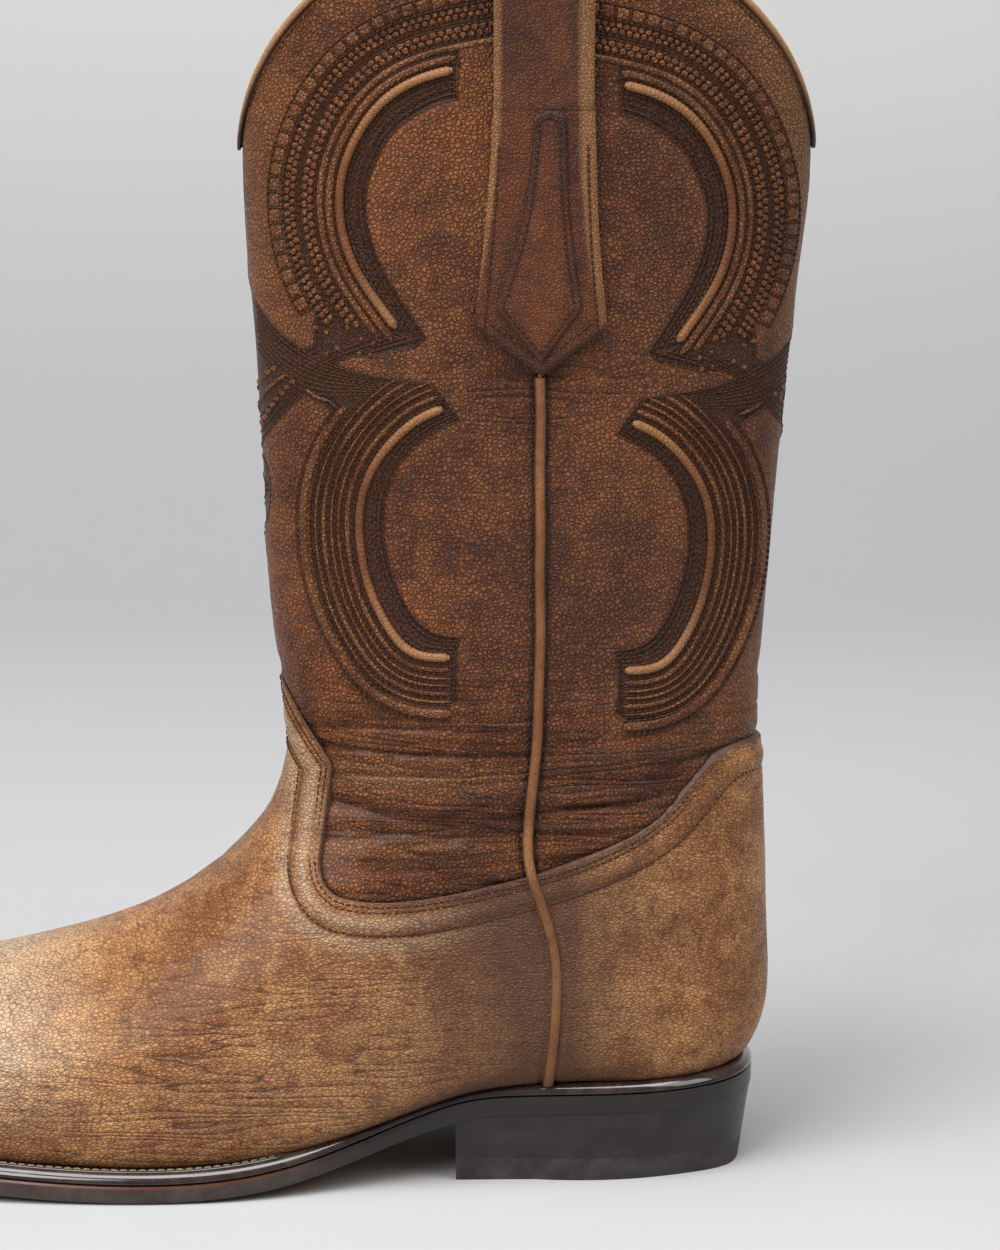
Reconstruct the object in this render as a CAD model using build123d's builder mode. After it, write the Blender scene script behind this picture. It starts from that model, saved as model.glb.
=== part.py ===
"""Left cowboy boot, built piece by piece: upper, linings, stiffeners, pull straps, bottom and heel.

Millimetres. +Z is up, the toe points along -X and the outer (lateral) side faces -Y. The origin is on the
ground, at the centre of the boot's box. Every layer of the upper is a shell between two insets of one
lofted form, cut by side-view outlines, so neighbouring layers follow each other.
"""

import os
from math import copysign, cos, hypot, pi, sin

from build123d import *

os.makedirs("parts", exist_ok=True)

# ---------------------------------------------------------------- driving dimensions
GLUE_GAP = 0.2  # room between stacked layers
LEATHER = 1.8  # outer leather
OVERLAP = 1.0  # how far the vamp and counter stand proud of the shaft
STIFFENER = 1.4
LINING = 1.2
STRAP = 2.4  # doubled strap leather
OVERLAY = 1.0
BEAD_HEIGHT = 1.2
BEAD_WIDTH = 2.8
SEAM_FLANGE = 1.0

WELT = 3.3
OUTSOLE = 5.5
INSOLE = 4.0
SOCK = 1.2
CAP = 6.5  # rubber top lift
LIFT = 5.0  # leather heel lift
BREAST_X = 58.5  # front face of the heel
WELT_END_X = 22.0  # where the welt stops at the waist
REACH = 80.0  # half depth of every side-view cutter

TOP_CENTRE = (77.9, 286.0)  # centre of the scalloped top line
TOP_RADII = (80.3, 66.0)
SEWN_Z = 300.5  # top of the stitched part of the pull straps
STRAP_X = 82.3
STRAP_WIDTH = 27.0
LOOP_GAP = 0.4
INSOLE_GAP = 0.6  # room between the insole's edge and the lining

# One section of the upper: front point (x, z), back or bottom point (x, z), outer and inner half width,
# share of the length below the widest place, and the roundness exponents of the front and back halves.
SECTIONS = [
    ((-153.5, 27.0), (-154.5, 13.0), 7.0, 7.0, 0.50, 2.0, 3.0),
    ((-150.5, 33.0), (-151.5, 12.5), 15.0, 15.0, 0.48, 2.0, 3.5),
    ((-143.0, 39.5), (-144.5, 11.5), 23.5, 24.0, 0.46, 2.1, 4.0),
    ((-130.0, 45.5), (-132.0, 10.0), 32.0, 33.0, 0.44, 2.1, 4.5),
    ((-111.0, 51.0), (-113.0, 7.5), 39.5, 40.5, 0.42, 2.1, 5.0),
    ((-86.0, 56.0), (-88.0, 5.0), 46.0, 47.0, 0.40, 2.1, 5.0),
    ((-60.0, 61.5), (-60.0, 3.0), 49.5, 50.5, 0.38, 2.1, 5.0),
    ((-36.0, 69.0), (-30.0, 1.8), 51.0, 51.0, 0.36, 2.1, 5.0),
    ((-16.0, 80.0), (2.0, 4.0), 49.5, 48.0, 0.36, 2.1, 5.0),
    ((-2.0, 92.5), (34.0, 11.0), 45.5, 43.0, 0.38, 2.1, 5.0),
    ((6.0, 104.0), (68.0, 21.5), 41.0, 39.0, 0.42, 2.1, 5.0),
    ((9.5, 115.0), (102.0, 24.0), 38.5, 37.5, 0.45, 2.1, 4.6),
    ((10.0, 125.0), (131.0, 24.5), 37.0, 36.5, 0.48, 2.1, 3.6),
    ((9.0, 135.0), (143.5, 36.0), 36.0, 36.0, 0.50, 2.1, 2.6),
    ((7.0, 147.0), (146.9, 66.0), 35.5, 35.5, 0.50, 2.1, 2.2),
    ((5.2, 162.0), (145.6, 98.0), 35.0, 35.0, 0.50, 2.1, 2.1),
    ((4.0, 180.0), (144.3, 130.0), 35.0, 35.0, 0.50, 2.1, 2.1),
    ((3.0, 203.0), (146.5, 168.0), 35.5, 35.5, 0.50, 2.1, 2.1),
    ((1.5, 230.0), (149.8, 210.0), 36.5, 36.5, 0.50, 2.1, 2.1),
    ((-0.3, 260.0), (154.2, 253.0), 37.5, 37.5, 0.50, 2.1, 2.1),
    ((-2.4, 294.0), (158.2, 294.0), 38.6, 38.6, 0.50, 2.1, 2.1),
    ((-4.0, 330.0), (160.0, 330.0), 39.4, 39.4, 0.50, 2.1, 2.1),
    ((-5.0, 366.0), (161.0, 366.0), 40.0, 40.0, 0.50, 2.1, 2.1),
]
ANKLE = 12  # the section where the foot's loft hands over to the shaft's
TOE_SECTIONS = 5  # an inset form also retreats from the toe over these sections
POINTS = 24

# Side-view lines (x, z)
SEAM = [(81.6, 370), (81.6, 300), (81.4, 220), (81.2, 140), (79.4, 111), (78.8, 91), (81.6, 82),
        (85.8, 65), (86.2, 50), (84.2, 31), (82.0, -5)]
SOLE_TOP = [(-162, 25.5), (-150, 22.0), (-130, 18.0), (-110, 14.9), (-90, 12.4), (-68, 10.4), (-45, 9.1),
            (-25, 8.8), (-5, 9.7), (14, 12.6), (36, 19.2), (50, 24.0), (62, 27.2), (76, 28.4), (100, 28.9),
            (125, 29.6), (145, 30.4), (165, 31.2)]

# Plan outline of the outsole (x, y), from the toe round the outer side to the heel and back
OUTLINE = [(-158.5, 0), (-155.5, -14.5), (-146.5, -26.5), (-128, -38), (-98, -48.5), (-62, -54.5),
           (-27, -56), (4, -52), (30, -43.5), (55, -37), (80, -36), (108, -35.5), (127, -30.5),
           (139.5, -18.5), (143.8, 0), (139.5, 18.5), (127, 30.5), (108, 35), (80, 35), (55, 34.5),
           (28, 39), (0, 48.5), (-30, 55.3), (-50, 56), (-75, 53.5), (-105, 47), (-132, 36.5), (-149, 24),
           (-156, 13)]


# ---------------------------------------------------------------- the lofted form
def section_plane(section):
    """The plane of a section: its x runs across the boot and its y from the back point to the front."""
    (front_x, front_z), (back_x, back_z) = section[:2]
    along = Vector(front_x - back_x, 0, front_z - back_z).normalized()
    middle = ((front_x + back_x) / 2, 0, (front_z + back_z) / 2)
    return Plane(origin=middle, x_dir=(0, 1, 0), z_dir=Vector(0, 1, 0).cross(along))


def inset_outline(section, inset):
    """Points of a section's egg-shaped outline, from the front round the inner side, moved inwards."""
    front, back, outer, inner, below, front_power, back_power = section
    length = hypot(front[0] - back[0], front[1] - back[1])
    points = []
    for i in range(POINTS):
        up, across = cos(2 * pi * i / POINTS), sin(2 * pi * i / POINTS)
        power = 2 / (front_power if up > 0 else back_power)
        reach = length * ((1 - below) if up > 0 else below) - inset
        half_width = (inner if across > 0 else outer) - inset
        height = (below - 0.5) * length + copysign(abs(up) ** power, up) * reach
        points.append((copysign(abs(across) ** power, across) * half_width, height))
    return points


def lofted(first, last, inset):
    """Lofts the sections from first to last, all moved inwards by the inset."""
    with BuildPart() as form:
        for number in range(first, last + 1):
            plane = section_plane(SECTIONS[number])
            retreat = inset * max(0, 1 - number / TOE_SECTIONS)
            plane = Plane(plane.origin + Vector(retreat, 0, 0), x_dir=plane.x_dir, z_dir=plane.z_dir)
            steps = [i / POINTS for i in range(POINTS + 1)]
            with BuildSketch(plane):
                with BuildLine():
                    points = inset_outline(SECTIONS[number], inset)
                    add(Edge.make_spline(points, periodic=True, parameters=steps))
                make_face()
        loft()
    return form.part


def whole_form(inset):
    """The boot's full outer form, moved inwards by the inset."""
    with BuildPart() as form:
        add(lofted(0, ANKLE, inset))
        add(lofted(ANKLE, len(SECTIONS) - 1, inset))
    return form.part


def shaft_form(inset):
    """The shaft alone, which is all that the straps, cords and shaft linings need."""
    return lofted(ANKLE, len(SECTIONS) - 1, inset)


# ---------------------------------------------------------------- side-view cutters
def side_cutter(draw):
    """A prism through the boot from a closed side-view outline that draw() makes."""
    with BuildPart() as cutter:
        with BuildSketch(Plane.XZ):
            with BuildLine():
                draw()
            make_face()
        extrude(amount=REACH, both=True)
    return cutter.part


def draw_before_seam(shift):
    """All that lies in front of the side seam, moved by shift along X."""
    seam = Spline(*[(x + shift, z) for x, z in SEAM])
    Polyline(seam @ 1, (-170, -5), (-170, 370), seam @ 0)


def draw_behind_seam(shift):
    """All that lies behind the side seam, moved by shift along X."""
    seam = Spline(*[(x + shift, z) for x, z in SEAM])
    Polyline(seam @ 1, (170, -5), (170, 370), seam @ 0)


def draw_seam_band(half_width):
    """A band of the given half width along the side seam."""
    left = Spline(*[(x - half_width, z) for x, z in SEAM])
    right = Spline(*[(x + half_width, z) for x, z in SEAM])
    Line(left @ 0, right @ 0)
    Line(left @ 1, right @ 1)


def draw_foot_part():
    """The part of the upper below the stitched top edge of the vamp and counter."""
    tongue = Spline((5.0, 144.0), (8.5, 139.5), (14.0, 131.0), (23.8, 117.6))
    side = Line(tongue @ 1, (20.3, 93.0))
    corner = RadiusArc(side @ 1, (29.0, 82.0), -10.5)
    rise = Spline(corner @ 1, (42.7, 81.6), (78.8, 88.7), (104.0, 97.6), (117.5, 106.2), (127.5, 117.0),
                  (134.0, 121.5), (150.0, 122.5), tangents=[(1, -0.1), (1, 0)])
    Polyline(rise @ 1, (170, 122.5), (170, 0), (-170, 0), (-170, 144), tongue @ 0)


def draw_below_top(depth):
    """All that lies below the scalloped top line, less an even band of the given depth along it."""
    centre_x, base_z = TOP_CENTRE[0], TOP_CENTRE[1] - 2 * depth
    arch = EllipticalCenterArc((centre_x, base_z), TOP_RADII[0], TOP_RADII[1] + depth, arc_size=180)
    Polyline(arch @ 0, (170, base_z), (170, -10), (-170, -10), (-170, base_z), arch @ 1)


def draw_slab(top, bottom):
    """A layer that follows the sole's curve, from top to bottom, measured up from the sole's top line."""
    upper = Spline(*[(x, z + top) for x, z in SOLE_TOP])
    lower = Spline(*[(x, z + bottom) for x, z in SOLE_TOP])
    Line(upper @ 0, lower @ 0)
    Line(upper @ 1, lower @ 1)


def draw_above_sole():
    """All that lies above the sole's top line."""
    sole = Spline(*SOLE_TOP)
    Polyline(sole @ 1, (165, 380), (-162, 380), sole @ 0)


def box_between(low, high):
    """A plain cutter box between two corners."""
    with BuildPart() as cutter:
        with Locations([(Vector(*low) + Vector(*high)) / 2]):
            Box(*(Vector(*high) - Vector(*low)))
    return cutter.part


FLANGE = SEAM_FLANGE / 2
above_sole = side_cutter(draw_above_sole)
foot_part = side_cutter(draw_foot_part)
before_seam = side_cutter(lambda: draw_before_seam(-FLANGE))
behind_seam = side_cutter(lambda: draw_behind_seam(FLANGE))
below_binding = side_cutter(lambda: draw_below_top(0.8))
below_top = side_cutter(lambda: draw_below_top(0))
outer_half = box_between((-170, -REACH, -5), (170, 0, 380))
inner_half = box_between((-170, 0, -5), (170, REACH, 380))

form_proud = whole_form(-OVERLAP)
form_outer = whole_form(0)
form_leather = whole_form(LEATHER)

with BuildPart() as shaft_zone:
    add(below_binding)
    add(foot_part, mode=Mode.SUBTRACT)

# ---------------------------------------------------------------- outer leather
with BuildPart() as front_shaft_panel:
    add(form_outer)
    add(form_leather, mode=Mode.SUBTRACT)
    add(shaft_zone.part, mode=Mode.INTERSECT)
    add(before_seam, mode=Mode.INTERSECT)
front_shaft_panel.part.label = "front_shaft_panel"
export_step(front_shaft_panel.part, "parts/front_shaft_panel.step")

with BuildPart() as back_shaft_panel:
    add(form_outer)
    add(form_leather, mode=Mode.SUBTRACT)
    add(shaft_zone.part, mode=Mode.INTERSECT)
    add(behind_seam, mode=Mode.INTERSECT)
back_shaft_panel.part.label = "back_shaft_panel"
export_step(back_shaft_panel.part, "parts/back_shaft_panel.step")

with BuildPart() as vamp:
    add(form_proud)
    add(form_leather, mode=Mode.SUBTRACT)
    add(foot_part, mode=Mode.INTERSECT)
    add(before_seam, mode=Mode.INTERSECT)
    add(above_sole, mode=Mode.INTERSECT)
vamp.part.label = "vamp"
export_step(vamp.part, "parts/vamp.step")

with BuildPart() as counter_cover:
    add(form_proud)
    add(form_leather, mode=Mode.SUBTRACT)
    add(foot_part, mode=Mode.INTERSECT)
    add(behind_seam, mode=Mode.INTERSECT)
    add(above_sole, mode=Mode.INTERSECT)
counter_cover.part.label = "counter_cover"
export_step(counter_cover.part, "parts/counter_cover.step")

# ---------------------------------------------------------------- side seam piping
BEAD_TOP = 228.0
seam_bead = side_cutter(lambda: draw_seam_band(BEAD_WIDTH / 2))
seam_gap = side_cutter(lambda: draw_seam_band(FLANGE))
below_strap = box_between((-170, -REACH, -5), (170, REACH, BEAD_TOP))
form_bead = whole_form(-OVERLAP - BEAD_HEIGHT)
with BuildPart() as seam_flange:
    add(form_proud)
    add(form_leather, mode=Mode.SUBTRACT)
    add(seam_gap, mode=Mode.INTERSECT)
for half, name in ((outer_half, "lateral_side_piping"), (inner_half, "medial_side_piping")):
    with BuildPart() as piping:
        add(form_bead)
        add(form_proud, mode=Mode.SUBTRACT)
        add(seam_bead, mode=Mode.INTERSECT)
        add(seam_flange.part)
        add(above_sole, mode=Mode.INTERSECT)
        add(below_strap, mode=Mode.INTERSECT)
        add(half, mode=Mode.INTERSECT)
    piping.part.label = name
    export_step(piping.part, f"parts/{name}.step")

# ---------------------------------------------------------------- stiffeners and linings
FIRST = LEATHER + GLUE_GAP
SECOND = FIRST + STIFFENER
THIRD = SECOND + GLUE_GAP
form_first = whole_form(FIRST)
form_second = whole_form(SECOND)
form_third = whole_form(THIRD)
form_cavity = whole_form(THIRD + LINING)
form_shaft_lining = whole_form(FIRST + LINING)

TOE_BOX_END_X = -98.0
STIFFENER_FRONT_X = 62.0
STIFFENER_TOP_Z = 84.0
toe_zone = box_between((-170, -REACH, 0), (TOE_BOX_END_X, REACH, 90))
middle_zone = box_between((TOE_BOX_END_X + GLUE_GAP, -REACH, 0), (STIFFENER_FRONT_X - GLUE_GAP, REACH, 150))
heel_zone = box_between((STIFFENER_FRONT_X, -REACH, 0), (170, REACH, STIFFENER_TOP_Z))
with BuildPart() as toe_box_stiffener:
    add(form_first)
    add(form_second, mode=Mode.SUBTRACT)
    add(toe_zone, mode=Mode.INTERSECT)
    add(above_sole, mode=Mode.INTERSECT)
toe_box_stiffener.part.label = "toe_box_stiffener"
export_step(toe_box_stiffener.part, "parts/toe_box_stiffener.step")

with BuildPart() as vamp_doubler:
    add(form_first)
    add(form_second, mode=Mode.SUBTRACT)
    add(middle_zone, mode=Mode.INTERSECT)
    add(foot_part, mode=Mode.INTERSECT)
    add(before_seam, mode=Mode.INTERSECT)
    add(above_sole, mode=Mode.INTERSECT)
vamp_doubler.part.label = "vamp_doubler"
export_step(vamp_doubler.part, "parts/vamp_doubler.step")

with BuildPart() as heel_counter_stiffener:
    add(form_first)
    add(form_second, mode=Mode.SUBTRACT)
    add(heel_zone, mode=Mode.INTERSECT)
    add(above_sole, mode=Mode.INTERSECT)
heel_counter_stiffener.part.label = "heel_counter_stiffener"
export_step(heel_counter_stiffener.part, "parts/heel_counter_stiffener.step")

with BuildPart() as vamp_lining:
    add(form_third)
    add(form_cavity, mode=Mode.SUBTRACT)
    add(foot_part, mode=Mode.INTERSECT)
    add(before_seam, mode=Mode.INTERSECT)
    add(above_sole, mode=Mode.INTERSECT)
vamp_lining.part.label = "vamp_lining"
export_step(vamp_lining.part, "parts/vamp_lining.step")

with BuildPart() as heel_lining:
    add(form_third)
    add(form_cavity, mode=Mode.SUBTRACT)
    add(foot_part, mode=Mode.INTERSECT)
    add(behind_seam, mode=Mode.INTERSECT)
    add(above_sole, mode=Mode.INTERSECT)
heel_lining.part.label = "heel_lining"
export_step(heel_lining.part, "parts/heel_lining.step")

with BuildPart() as front_shaft_lining:
    add(form_first)
    add(form_shaft_lining, mode=Mode.SUBTRACT)
    add(shaft_zone.part, mode=Mode.INTERSECT)
    add(before_seam, mode=Mode.INTERSECT)
front_shaft_lining.part.label = "front_shaft_lining"
export_step(front_shaft_lining.part, "parts/front_shaft_lining.step")

with BuildPart() as back_shaft_lining:
    add(form_first)
    add(form_shaft_lining, mode=Mode.SUBTRACT)
    add(shaft_zone.part, mode=Mode.INTERSECT)
    add(behind_seam, mode=Mode.INTERSECT)
back_shaft_lining.part.label = "back_shaft_lining"
export_step(back_shaft_lining.part, "parts/back_shaft_lining.step")

# ---------------------------------------------------------------- top binding
BINDING = 0.7  # thickness of the folded strip
BINDING_DEPTH = 3.4
below_binding_foot = side_cutter(lambda: draw_below_top(BINDING_DEPTH))
form_shaft = shaft_form(0)
form_binding = shaft_form(-BINDING)
form_binding_inside = shaft_form(FIRST + LINING + BINDING)
with BuildPart() as bound_edge:
    add(form_shaft)
    add(form_shaft_lining, mode=Mode.SUBTRACT)
    add(below_binding, mode=Mode.INTERSECT)
with BuildPart() as top_binding:
    add(form_binding)
    add(form_binding_inside, mode=Mode.SUBTRACT)
    add(below_top, mode=Mode.INTERSECT)
    add(below_binding_foot, mode=Mode.SUBTRACT)
    add(bound_edge.part, mode=Mode.SUBTRACT)
top_binding.part.label = "top_binding"
export_step(top_binding.part, "parts/top_binding.step")

# ---------------------------------------------------------------- pull straps
def draw_strap_tab():
    """The strap's stitched end: straight at the top, flared below, pointed at the bottom."""
    top_left, top_right = STRAP_X - STRAP_WIDTH / 2, STRAP_X + STRAP_WIDTH / 2
    left = Spline((top_left, SEWN_Z), (66.4, 266.0), (63.8, 241.5), tangents=[(0, -1), (-0.1, -1)])
    right = Spline((top_right, SEWN_Z), (97.0, 266.0), (99.4, 241.5), tangents=[(0, -1), (0.1, -1)])
    Polyline(left @ 1, (81.5, 228.4), right @ 1)
    Line(left @ 0, right @ 0)


def draw_overlay():
    """The narrow overlay on the strap's stitched end."""
    left = Spline((80.0, 296.0), (76.5, 270.0), (69.6, 247.0))
    right = Spline((86.8, 296.0), (88.6, 270.0), (92.0, 247.0))
    Polyline(left @ 1, (81.4, 232.0), right @ 1)
    RadiusArc(left @ 0, right @ 0, 4.2)


STRAP_INSIDE_Z = 268.0  # bottom of the strap's stitched end inside the shaft
form_strap = shaft_form(-STRAP)
form_overlay = shaft_form(-STRAP - OVERLAY)
form_strap_inside = shaft_form(FIRST + LINING + STRAP)
strap_tab = side_cutter(draw_strap_tab)
overlay_shape = side_cutter(draw_overlay)
inside_tab = box_between((STRAP_X - STRAP_WIDTH / 2, -REACH, STRAP_INSIDE_Z),
                         (STRAP_X + STRAP_WIDTH / 2, REACH, SEWN_Z))
LOOP_LINE = [(-40.2, SEWN_Z + LOOP_GAP), (-43.4, 326.0), (-45.6, 350.0), (-38.1, 361.9), (-30.4, 350.0),
             (-31.6, 326.0), (-33.1, SEWN_Z + LOOP_GAP)]

for side, half, prefix in ((-1, outer_half, "lateral"), (1, inner_half, "medial")):
    with BuildPart() as inner_leg:
        add(form_shaft_lining)
        add(form_strap_inside, mode=Mode.SUBTRACT)
        add(inside_tab, mode=Mode.INTERSECT)
        add(half, mode=Mode.INTERSECT)
    with BuildPart() as pull_strap:
        add(form_strap)
        add(form_shaft, mode=Mode.SUBTRACT)
        add(strap_tab, mode=Mode.INTERSECT)
        add(half, mode=Mode.INTERSECT)
        add(inner_leg.part)
    pull_strap.part.label = f"{prefix}_pull_strap"
    export_step(pull_strap.part, f"parts/{prefix}_pull_strap.step")

    with BuildPart() as strap_overlay:
        add(form_overlay)
        add(form_strap, mode=Mode.SUBTRACT)
        add(overlay_shape, mode=Mode.INTERSECT)
        add(half, mode=Mode.INTERSECT)
    strap_overlay.part.label = f"{prefix}_strap_overlay"
    export_step(strap_overlay.part, f"parts/{prefix}_strap_overlay.step")

    with BuildPart() as pull_loop:
        with BuildSketch(Plane.YZ.offset(STRAP_X - STRAP_WIDTH / 2)):
            with BuildLine():
                Spline(*[(-side * y, z) for y, z in LOOP_LINE], tangents=[(side * 0.1, 1), (side * 0.1, -1)])
            trace(line_width=STRAP)
        extrude(amount=STRAP_WIDTH)
    pull_loop.part.label = f"{prefix}_pull_loop"
    export_step(pull_loop.part, f"parts/{prefix}_pull_loop.step")

# ---------------------------------------------------------------- raised cording on the shaft
CORD_WIDTH = 3.4
CORD_HEIGHT = 0.9


def draw_cords(side_sign):
    """Upper and lower arcs of raised cording, in front of the seam (-1) or behind it (1)."""
    middle = 81.0

    def at(distance, z):
        return middle + side_sign * distance, z

    upper = Spline(at(24.0, 307.5), at(40.0, 301.0), at(52.5, 282.0), at(54.0, 262.0), at(40.5, 237.0))
    lower = Spline(at(28.5, 218.5), at(43.0, 207.0), at(47.5, 185.0), at(41.5, 163.0), at(25.0, 150.5))
    return upper, lower


form_cord = shaft_form(-CORD_HEIGHT)
for sign, name in ((-1, "front_panel_cording"), (1, "back_panel_cording")):
    with BuildPart() as cording:
        with BuildSketch(Plane.XZ):
            with BuildLine():
                draw_cords(sign)
            trace(line_width=CORD_WIDTH)
        extrude(amount=REACH, both=True)
        add(form_cord, mode=Mode.INTERSECT)
        add(form_shaft, mode=Mode.SUBTRACT)
    cording.part.label = name
    export_step(cording.part, f"parts/{name}.step")


# ---------------------------------------------------------------- bottom
def inset_plan(inset):
    """The outsole's plan outline with every point moved inwards, square to its neighbours."""
    points = []
    for i, (x, y) in enumerate(OUTLINE):
        before, after = OUTLINE[i - 1], OUTLINE[(i + 1) % len(OUTLINE)]
        run_x, run_y = after[0] - before[0], after[1] - before[1]
        run = hypot(run_x, run_y)
        points.append((x - inset * run_y / run, y + inset * run_x / run))
    return points


def plan_prism(inset):
    """An upright prism on the outsole's plan outline, moved inwards by the inset."""
    with BuildPart() as prism:
        with BuildSketch():
            with BuildLine():
                Spline(*inset_plan(inset), periodic=True)
            make_face()
        extrude(amount=60)
    return prism.part


WELT_INSIDE = 11.0  # width of the welt and rand from the outsole's edge inwards
full_plan = plan_prism(0)
inner_plan = plan_prism(WELT_INSIDE)
filler_plan = plan_prism(WELT_INSIDE + GLUE_GAP)
welt_slab = side_cutter(lambda: draw_slab(0, -WELT))
outsole_slab = side_cutter(lambda: draw_slab(-WELT, -WELT - OUTSOLE))
insole_slab = side_cutter(lambda: draw_slab(INSOLE, 0))
sock_slab = side_cutter(lambda: draw_slab(INSOLE + SOCK, INSOLE))
fore_zone = box_between((-170, -REACH, -5), (WELT_END_X, REACH, 60))
aft_zone = box_between((WELT_END_X + GLUE_GAP, -REACH, -5), (170, REACH, 60))
form_insole = whole_form(THIRD + LINING + INSOLE_GAP)

# Pegs and nails, placed first because the layers are drilled for them
PEG_RADIUS = 1.0
PEG_X = [26.0 + 4.6 * i for i in range(7)]
PEG_INSET = 12.0
NAIL_RADIUS = 1.0
NAIL_HEAD_RADIUS = 2.2
NAIL_HEAD = 1.2
NAIL_RECESS = 1.0
NAIL_TOP_Z = 27.6
NAILS = [(68, -22), (68, 22), (86, -24.5), (86, 24.5), (104, -23.5), (104, 23.5), (119, -14.5), (119, 14.5),
         (124, 0)]


def waist_y(x, side_sign):
    """Distance of the outsole's edge from the centre plane at the waist."""
    near, far = (43.5, 37.0) if side_sign < 0 else (39.0, 34.5)
    share = min(1.0, (x - 28.0) / 27.0)
    return side_sign * (near + (far - near) * share)


peg_places = [(x, waist_y(x, sign) - sign * PEG_INSET) for x in PEG_X for sign in (-1, 1)]
with BuildPart() as peg_holes:
    with Locations([(x, y, 0) for x, y in peg_places]):
        Cylinder(PEG_RADIUS, 50, align=(Align.CENTER, Align.CENTER, Align.MIN))
with BuildPart() as nail_holes:
    with Locations([(x, y, 0) for x, y in NAILS]):
        Cylinder(NAIL_RADIUS, NAIL_TOP_Z, align=(Align.CENTER, Align.CENTER, Align.MIN))
        Cylinder(NAIL_HEAD_RADIUS, NAIL_RECESS + NAIL_HEAD, align=(Align.CENTER, Align.CENTER, Align.MIN))


SHANK_HALF = 7.0
SHANK_THICK = 1.4
shank_zone = box_between((6, -SHANK_HALF, 0), (92, SHANK_HALF, 60))
shank_slab = side_cutter(lambda: draw_slab(-0.1, -0.1 - SHANK_THICK))
with BuildPart() as steel_shank:
    add(shank_slab)
    add(shank_zone, mode=Mode.INTERSECT)
steel_shank.part.label = "steel_shank"
export_step(steel_shank.part, "parts/steel_shank.step")

with BuildPart() as welt:
    add(full_plan)
    add(welt_slab, mode=Mode.INTERSECT)
    add(fore_zone, mode=Mode.INTERSECT)
    add(inner_plan, mode=Mode.SUBTRACT)
welt.part.label = "welt"
export_step(welt.part, "parts/welt.step")

with BuildPart() as heel_rand:
    add(full_plan)
    add(welt_slab, mode=Mode.INTERSECT)
    add(aft_zone, mode=Mode.INTERSECT)
    add(inner_plan, mode=Mode.SUBTRACT)
    add(peg_holes.part, mode=Mode.SUBTRACT)
    add(nail_holes.part, mode=Mode.SUBTRACT)
heel_rand.part.label = "heel_rand"
export_step(heel_rand.part, "parts/heel_rand.step")

with BuildPart() as cork_filler:
    add(filler_plan)
    add(welt_slab, mode=Mode.INTERSECT)
    add(fore_zone, mode=Mode.INTERSECT)
    add(steel_shank.part, mode=Mode.SUBTRACT)
cork_filler.part.label = "cork_filler"
export_step(cork_filler.part, "parts/cork_filler.step")

with BuildPart() as shank_board:
    add(filler_plan)
    add(welt_slab, mode=Mode.INTERSECT)
    add(aft_zone, mode=Mode.INTERSECT)
    add(steel_shank.part, mode=Mode.SUBTRACT)
    add(peg_holes.part, mode=Mode.SUBTRACT)
    add(nail_holes.part, mode=Mode.SUBTRACT)
shank_board.part.label = "shank_board"
export_step(shank_board.part, "parts/shank_board.step")

with BuildPart() as outsole:
    add(full_plan)
    add(outsole_slab, mode=Mode.INTERSECT)
    add(peg_holes.part, mode=Mode.SUBTRACT)
    add(nail_holes.part, mode=Mode.SUBTRACT)
outsole.part.label = "outsole"
export_step(outsole.part, "parts/outsole.step")

with BuildPart() as insole:
    add(form_insole)
    add(insole_slab, mode=Mode.INTERSECT)
    add(peg_holes.part, mode=Mode.SUBTRACT)
insole.part.label = "insole"
export_step(insole.part, "parts/insole.step")

with BuildPart() as sock_lining:
    add(form_insole)
    add(sock_slab, mode=Mode.INTERSECT)
sock_lining.part.label = "sock_lining"
export_step(sock_lining.part, "parts/sock_lining.step")

# The pegs end just under the sock lining
peg_slab = side_cutter(lambda: draw_slab(INSOLE, -WELT - OUTSOLE))
with BuildPart() as wood_pegs:
    add(peg_holes.part)
    add(peg_slab, mode=Mode.INTERSECT)
wood_pegs.part.label = "wood_pegs"
export_step(wood_pegs.part, "parts/wood_pegs.step")

# ---------------------------------------------------------------- welt stitching
STITCH_IN, STITCH_OUT = 3.2, 2.2
stitch_outside = plan_prism(STITCH_OUT)
stitch_inside = plan_prism(STITCH_IN)
stitch_slab = side_cutter(lambda: draw_slab(0.5, 0))
with BuildPart() as welt_stitching:
    add(stitch_outside)
    add(stitch_inside, mode=Mode.SUBTRACT)
    add(stitch_slab, mode=Mode.INTERSECT)
    add(fore_zone, mode=Mode.INTERSECT)
    add(form_bead, mode=Mode.SUBTRACT)
welt_stitching.part.label = "welt_stitching"
export_step(welt_stitching.part, "parts/welt_stitching.step")


# ---------------------------------------------------------------- heel
def heel_outline(taper):
    """The heel's plan outline, drawn in by the taper at the back and sides."""
    back = Spline((80, -36 + taper), (108, -35.5 + taper), (127 - taper, -30.5 + taper),
                  (139.5 - taper, -18.5), (143.8 - taper, 0), (139.5 - taper, 18.5),
                  (127 - taper, 30.5 - taper), (108, 35 - taper), (80, 35 - taper))
    Polyline(back @ 1, (BREAST_X - 0.5, 34 - taper), (BREAST_X - 0.5, -36.5 + taper), back @ 0)


HEEL_TOP_Z = 26.0
HEEL_TAPER = 4.0
with BuildPart() as heel_block:
    with BuildSketch():
        with BuildLine():
            heel_outline(HEEL_TAPER)
        make_face()
    with BuildSketch(Plane.XY.offset(HEEL_TOP_Z)):
        with BuildLine():
            heel_outline(0)
        make_face()
    loft(ruled=True)
    add(side_cutter(lambda: draw_slab(-WELT - OUTSOLE, -60)), mode=Mode.INTERSECT)

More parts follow.
